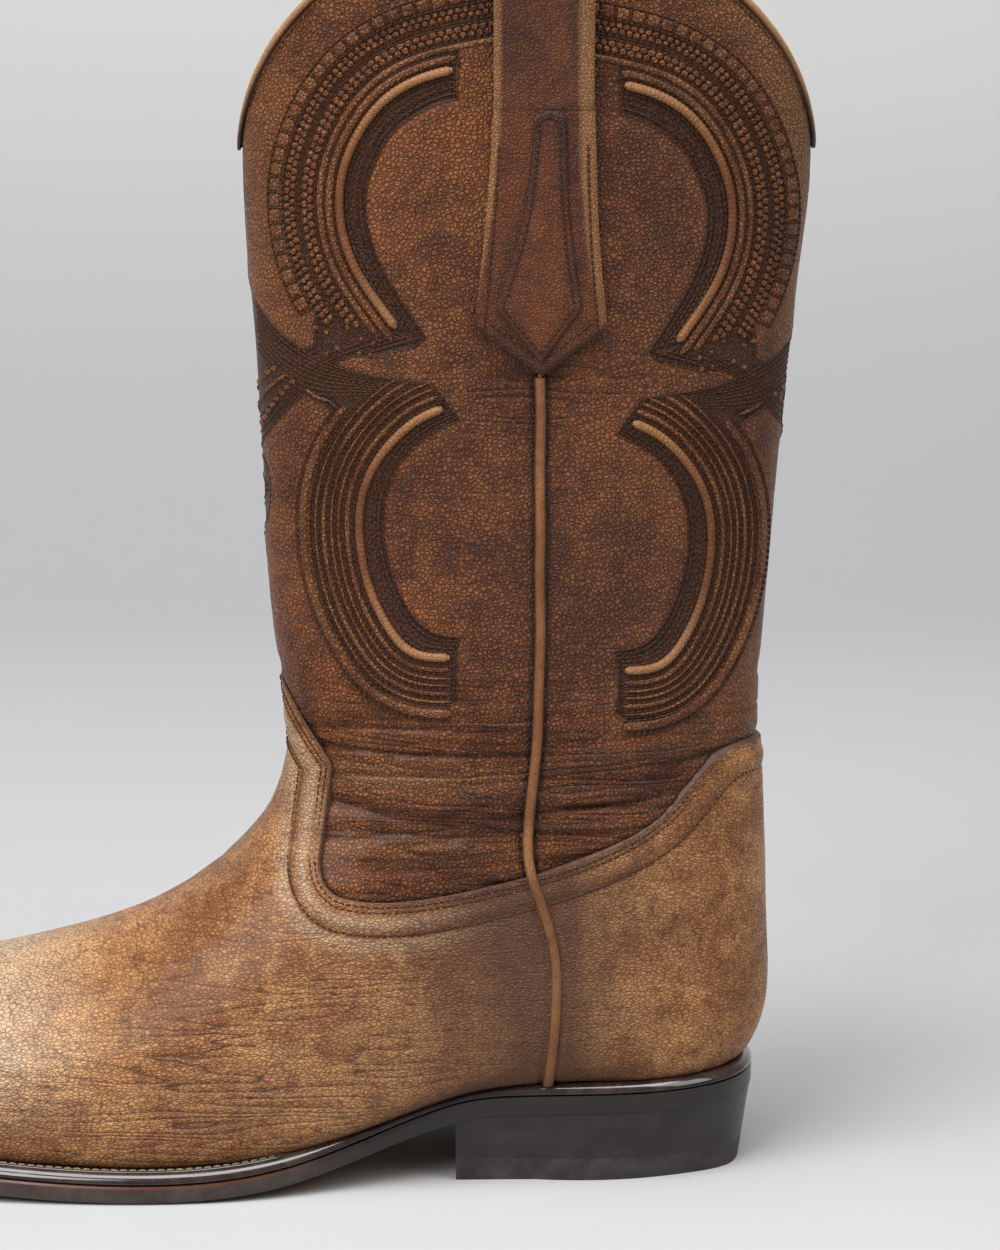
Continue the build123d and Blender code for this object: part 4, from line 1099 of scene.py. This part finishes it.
# ---- raised cording
CORD_RING = oval(12, 1.3, 1.0)
for panel, name in ((-1, "front_panel_cording"), (1, "back_panel_cording")):
    parts = []
    for base in (UPPER_CORD, LOWER_CORD):
        for side in (-1, 1):
            path, normal = on_panel(curve(base, 0.4), panel, side, 0.05)
            across = np.cross(tangents(path), normal)
            ribs = 1 + 0.07 * np.sin(np.arange(len(path)) * 0.4 * 2 * math.pi / 1.3)
            ring = CORD_RING * (tapered(len(path), 3, 0.25) * ribs)[:, None, None]
            parts.append(sweep(path, across, normal, ring))
    vertices, faces = joined(parts)
    cording = make_object(name + "_leather", vertices, faces, [CORD_LEATHER])
    heights = vertices[:, 2] + (0 if panel < 0 else BACK_DROP)
    # The cords are worn lighter towards their ends. Painted shade darkens their flanks, where the round
    # section turns away.
    bright = np.where(heights > 230, np.abs(heights - 272) / 38, np.abs(heights - 186) / 34)
    flank_shade = np.tile(np.abs(CORD_RING[:, 0] / 1.3) ** 3, len(vertices) // len(CORD_RING))
    paint(cording, tan=np.clip(1.3 * bright - 0.45, 0, 0.85),
          dark=np.maximum(np.clip(0.35 - bright, 0, 0.3), 0.65 * flank_shade))
    place(cording, "piping_leather", name)

# ---- side piping
for side, prefix in ((-1, "lateral"), (1, "medial")):
    heights = np.arange(228.0, 29.0, -0.7)
    line = np.stack([seam_x(heights), heights], axis=1)
    line = line[line[:, 1] > sole_z(line[:, 0]) + 0.1]
    proud = unit((92.0 - line[:, 1]) / 5)
    wander = 0.10 * np.sin(line[:, 1] * 0.21) + 0.10 * np.sin(line[:, 1] * 0.09 + 1)
    path, normal = on_leg(line + np.stack([wander, 0 * wander], axis=1), side, 0.15 + 0.62 * proud)
    across = np.cross(tangents(path), normal)
    ring = oval(14, 1.5, 1.1)
    piping = make_object(prefix + "_piping_leather", *sweep(path, across, normal, ring), [PIPING_LEATHER])
    # Painted shade on the piping's flanks, where the round section turns away.
    flank_shade = 0.85 * np.abs(ring[:, 0] / 1.5) ** 4
    paint(piping, dark=np.maximum(np.repeat(0.38 * proud, len(ring)), np.tile(flank_shade, len(path))))
    place(piping, "piping_leather", prefix + "_side_piping")

# ---- top binding
def top_arch(depth, step):
    """The scalloped top line in side view, lowered by a depth."""
    turns = np.linspace(0, math.pi, 160)
    heights = TOP_CENTRE[1] - 2 * depth + (TOP_RADII[1] + depth) * np.sin(turns)
    return resampled(np.stack([TOP_CENTRE[0] - TOP_RADII[0] * np.cos(turns), heights], axis=1), step)


arch = top_arch(0, 1.0)[3:-3]
outer_t, outer_theta = locate(arch[:, 0], arch[:, 1], -1)
inner_t, inner_theta = locate(arch[:, 0], arch[:, 1], 1)
loop_t, loop_theta = np.r_[outer_t, inner_t[::-1]], np.r_[outer_theta, inner_theta[::-1]]
loop_path, loop_normal = form(loop_t, loop_theta), form_normal(loop_t, loop_theta)
loop_down = np.cross(tangents(loop_path, closed=True), loop_normal)
loop_down *= np.sign(-loop_down[:, 2:3])
# (inwards, down), how worn and how dark, round the folded strip
BINDING = np.array([(-0.60, 2.3, 0, 0.9), (-0.75, 1.7, 0.1, 0), (-0.7, 0.8, 0.5, 0), (-0.35, 0.15, 1, 0),
                    (0.5, -0.1, 1, 0), (2.6, -0.1, 1, 0), (3.5, 0.2, 1, 0), (3.85, 0.9, 0.5, 0),
                    (3.9, 1.8, 0.1, 0), (3.85, 2.7, 0, 0.9), (3.3, 2.9, 0, 1), (3, 1, 0, 1), (0.2, 1, 0, 1),
                    (-0.1, 2.6, 0, 1)])
vertices, faces = sweep(loop_path, -loop_normal, loop_down, BINDING[:, :2], closed=True)
binding = make_object("top_binding_leather", vertices, faces, [BINDING_LEATHER])
paint(binding, tan=np.tile(BINDING[:, 2], len(loop_path)), dark=np.tile(BINDING[:, 3], len(loop_path)))
place(binding, "binding_leather", "top_binding")

edge_threads = []
stitched = top_arch(3.6, 0.5)
stitched = stitched[(np.abs(stitched[:, 0] - 82.3) > 16) & (np.abs(stitched[:, 0] - TOP_CENTRE[0]) < 76.5)]
for side in (-1, 1):
    for half in (stitched[:, 0] < 82, stitched[:, 0] > 82):
        edge_threads.append(stitches(*on_leg(stitched[half], side, 0.0), 2.0, 0.34, 0.2))
place(make_object("top_edge_threads", *joined(edge_threads), [THREAD]), "thread")

# ---- pull straps
STRAP, STRAP_X, STRAP_HALF = 2.4, 82.3, 13.5
STRAP_STITCH = (1.9, 0.36, 0.2, 0.05)
LOOP_LINE = [(-40.2, 300.9), (-43.4, 326), (-45.6, 350), (-38.1, 361.9), (-30.4, 350), (-31.6, 326),
             (-33.1, 300.9)]
strap_left = curve([(68.8, 300.5), (67.9, 284), (66.4, 266), (63.8, 241.5)], 1.0)[::-1]
strap_right = curve([(95.8, 300.5), (96.2, 284), (97, 266), (99.4, 241.5)], 1.0)[::-1]


def strap_grid(side):
    """Middle surface of a pull strap, from its pointed end up, over the top edge and down inside."""
    shares = np.sin(np.linspace(-math.pi / 2, math.pi / 2, 41) * 0.985) / math.sin(math.pi / 2 * 0.985)
    sewn = np.linspace(0, 1, 70)[:, None]
    tip = 228.4 + 13.1 * np.abs(shares)[None, :]
    z = tip * (1 - sewn) + 300.5 * sewn
    left = np.interp(z, strap_left[:, 1], strap_left[:, 0])
    right = np.interp(z, strap_right[:, 1], strap_right[:, 0])
    x = left + (right - left) * (shares[None, :] + 1) / 2
    t, theta = locate(x.ravel(), z.ravel(), side)
    outer_leg = form(t, theta, -STRAP / 2).reshape(*z.shape, 3)
    loop = curve([(y, z) for y, z in LOOP_LINE], 1.2)
    loop_x = np.broadcast_to(STRAP_X + STRAP_HALF * shares, (len(loop), len(shares)))
    over = np.stack(np.broadcast_arrays(loop_x, -side * loop[:, :1], loop[:, 1:]), axis=-1)
    z = np.linspace(299.5, 268.5, 24)[:, None] + 0 * shares[None, :]
    x = STRAP_X + STRAP_HALF * shares[None, :] + 0 * z
    t, theta = locate(x.ravel(), z.ravel(), side)
    inner_leg = form(t, theta, 3.2 + STRAP / 2).reshape(*z.shape, 3)
    for k in range(8):
        free = ((k + 1) / 9) ** 0.5
        over[k] = over[k] * free + (outer_leg[-1] + (over[k] - over[0])) * (1 - free)
        over[-1 - k] = over[-1 - k] * free + (inner_leg[0] + (over[-1 - k] - over[-1])) * (1 - free)
    return np.concatenate([outer_leg, over, inner_leg]), shares


OVERLAY = np.r_[[(79.4, 297), (79.9, 298.6), (83.6, 299.9), (87.4, 298.6), (88, 297)],
                curve([(88, 294), (89, 270), (92, 247)], 2.0), [(81.4, 232)],
                curve([(69.6, 247), (76.3, 270), (79.4, 294)], 2.0)]


def overlay_relief(points, turn, depth):
    # Painted shade along a stitch groove 1.6 mm in and at the edge itself; the overlay is also darker towards
    # the top.
    dark = 0.85 * peak(depth - 1.6, 0.9) + 0.85 * unit(1 - depth) + 0.6 * unit((points[:, 2] - 268) / 30)
    return 0.35 * bulge(depth, 1.8, 4.5, 40), {"dark": np.clip(dark, 0, 0.9)}


for side, prefix in ((-1, "lateral"), (1, "medial")):
    middle, shares = strap_grid(side)
    normal = normalized(np.cross(np.gradient(middle, axis=0), np.gradient(middle, axis=1)))
    normal *= np.sign(np.sum(normal[5, 20] * [0, side, 0]))
    count, size = middle.shape[:2]
    thick = STRAP / 2 * np.clip(1 - np.abs(shares) ** 14, 0.12, 1) ** 0.5 * tapered(count, 2.0, 0.2)[:, None]
    top, bottom = middle + normal * thick[..., None], middle - normal * thick[..., None]
    strap = two_sided(prefix + "_strap_leather", top, bottom, [STRAP_LEATHER], angle=60)
    edge_share = np.broadcast_to(np.abs(shares), middle.shape[:2])
    wide = np.where(shares > 0, 0.66, 0.82) + 0.16 * unit((285 - middle[..., 2]) / 40)
    tan = (unit((edge_share - wide) / 0.07) * np.clip((middle[..., 2] - 232) / 25, 0.25, 1)).ravel() * 0.95
    line = (peak(edge_share - 0.84, 0.04) * (middle[..., 2] < 291)).ravel() * 0.7
    line = np.maximum(line, 0.85 * unit(1 - np.arange(count) / 2.5).repeat(size))
    paint(strap, tan=np.r_[tan, tan], dark=np.r_[line, line])
    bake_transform(strap)
    stand_for(strap, "strap_leather", prefix + "_pull_strap", prefix + "_pull_loop")

    rows = []
    for share in (-0.84, 0.84):
        column = int(np.argmin(np.abs(shares - share)))
        path = top[2:68, column]
        path = resampled(path[path[:, 2] < 291], 0.6)
        rows.append(stitches(path, np.tile(normal[30, column], (len(path), 1)), *STRAP_STITCH))
    for first, last in ((-17, 0), (0, 17)):
        across = np.linspace(first, last, 30)
        view = np.stack([81.6 + across * 0.82, 232.6 + 13.1 * np.abs(across) / 18 * 0.86], axis=1)
        rows.append(stitches(*on_leg(view, side, 2.45), *STRAP_STITCH))
    place(make_object(prefix + "_strap_threads", *joined(rows), [THREAD]), "thread")

    region = (lambda x, y, z, side=side: np.where(y * side > 0, signed_distance(x, z, OVERLAY), 9.0))
    overlay = shell(prefix + "_overlay_leather", region, (STATION_T[17], STATION_T[-2]), -3.4, -2.2,
                    [OVERLAY_LEATHER, CUT_EDGE], overlay_relief, step=0.5, columns=700)
    place(overlay, "overlay_leather", prefix + "_strap_overlay")
    inwards = -1.6 * quarter_turn(normalized(np.roll(OVERLAY, -1, axis=0) - OVERLAY))
    inner_line = np.stack([OVERLAY + inwards, np.roll(OVERLAY, -1, axis=0) + inwards], axis=1).reshape(-1, 2)
    inner_line = resampled(np.r_[inner_line, inner_line[:1]], 0.5)
    inner_line = inner_line[np.abs(signed_distance(*inner_line.T, OVERLAY) + 1.6) < 0.3]
    rows = stitches(*on_leg(inner_line, side, 3.45), 1.8, 0.32, 0.2, 0.05)
    place(make_object(prefix + "_overlay_threads", *rows, [THREAD]), "thread")

# ---- welt, outsole and rand
OUTLINE = np.array([(-158.5, 0), (-155.5, -14.5), (-146.5, -26.5), (-128, -38), (-98, -48.5),
                    (-62, -54.5), (-27, -56), (4, -52), (30, -43.5), (55, -37), (80, -36), (108, -35.5),
                    (127, -30.5), (139.5, -18.5), (143.8, 0), (139.5, 18.5), (127, 30.5), (108, 35),
                    (80, 35), (55, 34.5), (28, 39), (0, 48.5), (-30, 55.3), (-50, 56), (-75, 53.5),
                    (-105, 47), (-132, 36.5), (-149, 24), (-156, 13)], float)


def closed_curve(points, step):
    """An even closed curve through the points."""
    lap = np.r_[points[-4:], points, points[:5]]
    knots = distances(lap)
    dense = natural_spline(knots, lap)(np.linspace(knots[4], knots[-5], 900))
    return resampled(dense, step)[:-1]


plan = closed_curve(OUTLINE, 1.5)
plan_in = quarter_turn(tangents(plan, closed=True))


def run_of(selected):
    """Indices of the selected stretch of the plan, in order, even where it passes the plan's first point."""
    order = np.flatnonzero(selected)
    split = np.flatnonzero(np.diff(order) > 1)
    return np.r_[order[split[0] + 1:], order[:split[0] + 1]] if len(split) else order


def edge_strip(name, selected, section, materials):
    """A strip along the sole's edge. The section lists (inset, height over the sole's top line)."""
    rings = []
    for inset, height in section:
        spot = plan + plan_in * inset
        rings.append(np.c_[spot, sole_z(spot[:, 0]) + height])
    return make_object(name, *tube(np.stack(rings, axis=1)[run_of(selected)]), materials)


WELT_END = 21.0
welt_section = [(11, -0.05), (7, 0), (4.1, 0), (3.4, -0.03), (3.15, -0.28), (2.9, -0.04), (2.4, -0.12),
                (1.85, -0.36), (1.35, -0.68), (0.9, -1.08), (0.5, -1.58), (0.2, -2.2), (0.15, -2.7),
                (0.9, -3.15), (2, -3.25), (11, -3.25)]
fore = plan[:, 0] < WELT_END
welt = edge_strip("welt_edge", fore, welt_section, [WELT_EDGE])
place(welt, "sole_leather", "welt")
rand_section = [(inset, -0.03 if inset == 3.15 else height) for inset, height in welt_section]
rand = edge_strip("heel_rand_edge", ~fore | np.roll(~fore, 1) | np.roll(~fore, -1), rand_section, [WELT_EDGE])
place(rand, "sole_leather", "heel_rand")


def sole_plate(name, top, bottom, inset, roundness, materials):
    """A whole sole layer: rounded edge, and faces that run straight across it."""
    ring_section = [(inset + roundness * 1.6, top), (inset + roundness * 0.5, top - roundness * 0.15),
                    (inset + roundness * 0.1, top - roundness * 0.6), (inset, top - roundness * 1.3),
                    (inset, bottom + roundness * 1.3), (inset + roundness * 0.2, bottom + roundness * 0.5),
                    (inset + roundness * 0.7, bottom + roundness * 0.1), (inset + roundness * 1.8, bottom)]
    order = plan[np.argsort(plan[:, 0])]
    outer_half, inner_half = order[order[:, 1] <= 0], order[order[:, 1] > 0]
    low, high = plan[:, 0].min(), plan[:, 0].max()
    xs = (low + high) / 2 - (high - low) / 2 * np.cos(np.linspace(0.02, math.pi - 0.02, 260))
    lateral = np.c_[xs, np.interp(xs, outer_half[:, 0], outer_half[:, 1])]
    medial = np.c_[xs, np.interp(xs, inner_half[:, 0], inner_half[:, 1])]
    ring = np.r_[lateral, medial[::-1]]
    inwards = quarter_turn(tangents(ring, closed=True))
    rings = []
    square = np.clip((ring[:, :1] - 40) / 18, 0, 0.85)
    for k, (step_in, height) in enumerate(ring_section):
        spot = ring + inwards * (step_in * (1 - square) + inset * square)
        flat = (top, bottom)[k > 3]
        rings.append(np.c_[spot, sole_z(spot[:, 0]) + height * (1 - square[:, 0]) + flat * square[:, 0]])
    vertices, faces = tube(np.stack(rings), capped=False)
    slots = [0] * len(faces)
    count, half = len(ring), len(xs)
    for start, slot in ((0, 0), ((len(ring_section) - 1) * count, len(materials) - 1)):
        for i in range(half - 1):
            face = [start + i, start + i + 1, start + count - 2 - i, start + count - 1 - i]
            faces.append(face if start else face[::-1])
            slots.append(slot)
    return make_object(name, vertices, faces, materials, slots)


outsole = sole_plate("outsole_leather", -3.35, -8.65, 0.35, 1.15, [SOLE_EDGE, SOLE])
ring_size = len(outsole.data.vertices) // 8
ring_x = np.array([v.co.x for v in outsole.data.vertices]) / MM
paint(outsole, rim=np.repeat([0.9, 0.9, 0.6, 0, 0, 0, 0, 0], ring_size) * unit((25 - ring_x) / 20),
      aft=unit((ring_x - 5) / 30))
place(outsole, "sole_leather", "outsole")

stitched = (plan + plan_in * 4.1)
stitched = stitched[run_of(stitched[:, 0] < WELT_END - 3)]
path = np.c_[stitched, sole_z(stitched[:, 0]) + 0.05]
rows = stitches(path, np.tile([0.0, 0.0, 1.0], (len(path), 1)), 2.6, 0.42, 0.3, 0.0)
place(make_object("welt_threads", *rows, [WELT_THREAD]), "thread", "welt_stitching")

# ---- sock lining


def sock_rows():
    """The sock lining's top, from side to side, inside the foot lining."""
    xs = np.linspace(-145.0, 136.0, 120)
    lateral, medial = [], []
    rows, theta = grid(1.0, STATION_T[14], 1.5, 300)
    cloud = form(rows[:, None], theta, 5.6).reshape(-1, 3)
    for x in xs:
        z = sole_z(x) + 5.0
        near = cloud[(np.abs(cloud[:, 0] - x) < 2.5) & (np.abs(cloud[:, 2] - z) < 2.0)]
        lateral.append(near[:, 1].min() if len(near) else -1.0)
        medial.append(near[:, 1].max() if len(near) else 1.0)
    return xs, np.array(lateral), np.array(medial)


xs, lateral, medial = sock_rows()
shares = np.linspace(0, 1, 25)
across = lateral[:, None] + (medial - lateral)[:, None] * shares
levels = sole_z(xs)[:, None] + 5.2 + 0.9 * (2 * shares - 1) ** 4
top = np.stack([np.broadcast_to(xs[:, None], across.shape), across, levels], axis=-1)
sock = two_sided("sock_lining_leather", top, top - [0, 0, 1.1], [LINING])
place(sock, "lining_leather", "sock_lining")

# ---- nodes that keep their CAD shape
CARRIED = {"heel_lift_1": HEEL, "heel_lift_2": HEEL, "heel_lift_3": HEEL, "rubber_heel_cap": RUBBER,
           "heel_nails": BRASS, "wood_pegs": WOOD, "steel_shank": STEEL, "shank_board": BOARD,
           "cork_filler": CORK, "insole": BOARD, "toe_box_stiffener": BOARD, "vamp_doubler": BOARD,
           "heel_counter_stiffener": BOARD}
for node, material in CARRIED.items():
    NODES[node].data.materials.clear()
    NODES[node].data.materials.append(material)
for node in ("heel_lift_1", "heel_lift_2", "heel_lift_3", "rubber_heel_cap"):
    bevel = NODES[node].modifiers.new("soft_edges", "BEVEL")
    bevel.width, bevel.segments, bevel.limit_method, bevel.angle_limit = 0.00035, 2, "ANGLE", math.radians(50)


# ---- stage, light and camera
def stage_material():
    n = Nodes("paper_backdrop")
    mottle = n.noise(0.004, detail=3.0)
    axes = n.add("ShaderNodeSeparateXYZ", Vector=n.scaled((1, 1, 1)))
    # The paper is painted lighter up the wall and a touch lighter further back: painted light, not the
    # paper's own colour. The mottle is the paper's own.
    far = n.remap(axes.outputs[1], -150.0, 900.0)
    high = n.remap(axes.outputs[2], 20.0, 420.0)
    near = n.mix(n.remap(mottle, 0.3, 0.7), (0.380, 0.380, 0.386), (0.400, 0.400, 0.406))
    colour = n.mix(far, near, (0.405, 0.405, 0.416))
    colour = n.mix(high, colour, (0.555, 0.552, 0.545))
    return n.finish(colour, 0.9, mottle, 0.02, 0.0001)


turns = np.linspace(0, math.pi / 2, 24)
FLOOR_END = SWEEP_RADIUS = 1000.0
curved = np.c_[FLOOR_END + SWEEP_RADIUS * np.sin(turns), SWEEP_RADIUS - SWEEP_RADIUS * np.cos(turns)]
sweep_line = np.r_[[(-2600, 0), (FLOOR_END, 0)], curved, [(2000, 4800)]]
xs = np.linspace(-5000, 5000, 9)
backdrop = np.array([[x, y, z] for y, z in sweep_line for x in xs])
cells = [face[::-1] for face in grid_faces(len(sweep_line), len(xs))]
make_object("backdrop", backdrop, cells, [stage_material()], closed=False)


def area_light(name, place_at, aim, size, power):
    data = bpy.data.lights.new(name, "AREA")
    data.shape, data.size, data.size_y, data.energy = "RECTANGLE", *size, power
    light = bpy.data.objects.new(name, data)
    bpy.context.scene.collection.objects.link(light)
    light.location = place_at
    light.rotation_euler = (Vector(aim) - Vector(place_at)).to_track_quat("-Z", "Y").to_euler()


area_light("key_softbox", (-1.2, -1.45, 1.6), (0, 0, 0.14), (1.8, 1.4), 62)
area_light("fill_softbox", (1.5, -0.9, 1.8), (0, 0, 0.2), (1.6, 1.6), 26)
area_light("top_softbox", (-0.1, -0.35, 1.9), (-0.02, 0.0, 0), (1.9, 0.9), 40)
world = bpy.data.worlds.new("soft_room")
world.use_nodes = True
world.node_tree.nodes["Background"].inputs[0].default_value = (1, 1, 1, 1)
world.node_tree.nodes["Background"].inputs[1].default_value = 0.22
bpy.context.scene.world = world

camera_data = bpy.data.cameras.new("camera")
camera_data.lens, camera_data.sensor_width = 102.2, 36.0
camera_data.clip_start, camera_data.clip_end = 0.05, 30
camera = bpy.data.objects.new("camera", camera_data)
bpy.context.scene.collection.objects.link(camera)
camera.location = (0.0705, -1.0, 0.315)
camera.rotation_euler = (math.radians(90 - 9.15), 0, 0)
bpy.context.scene.camera = camera
bpy.context.scene.view_settings.view_transform = "Standard"
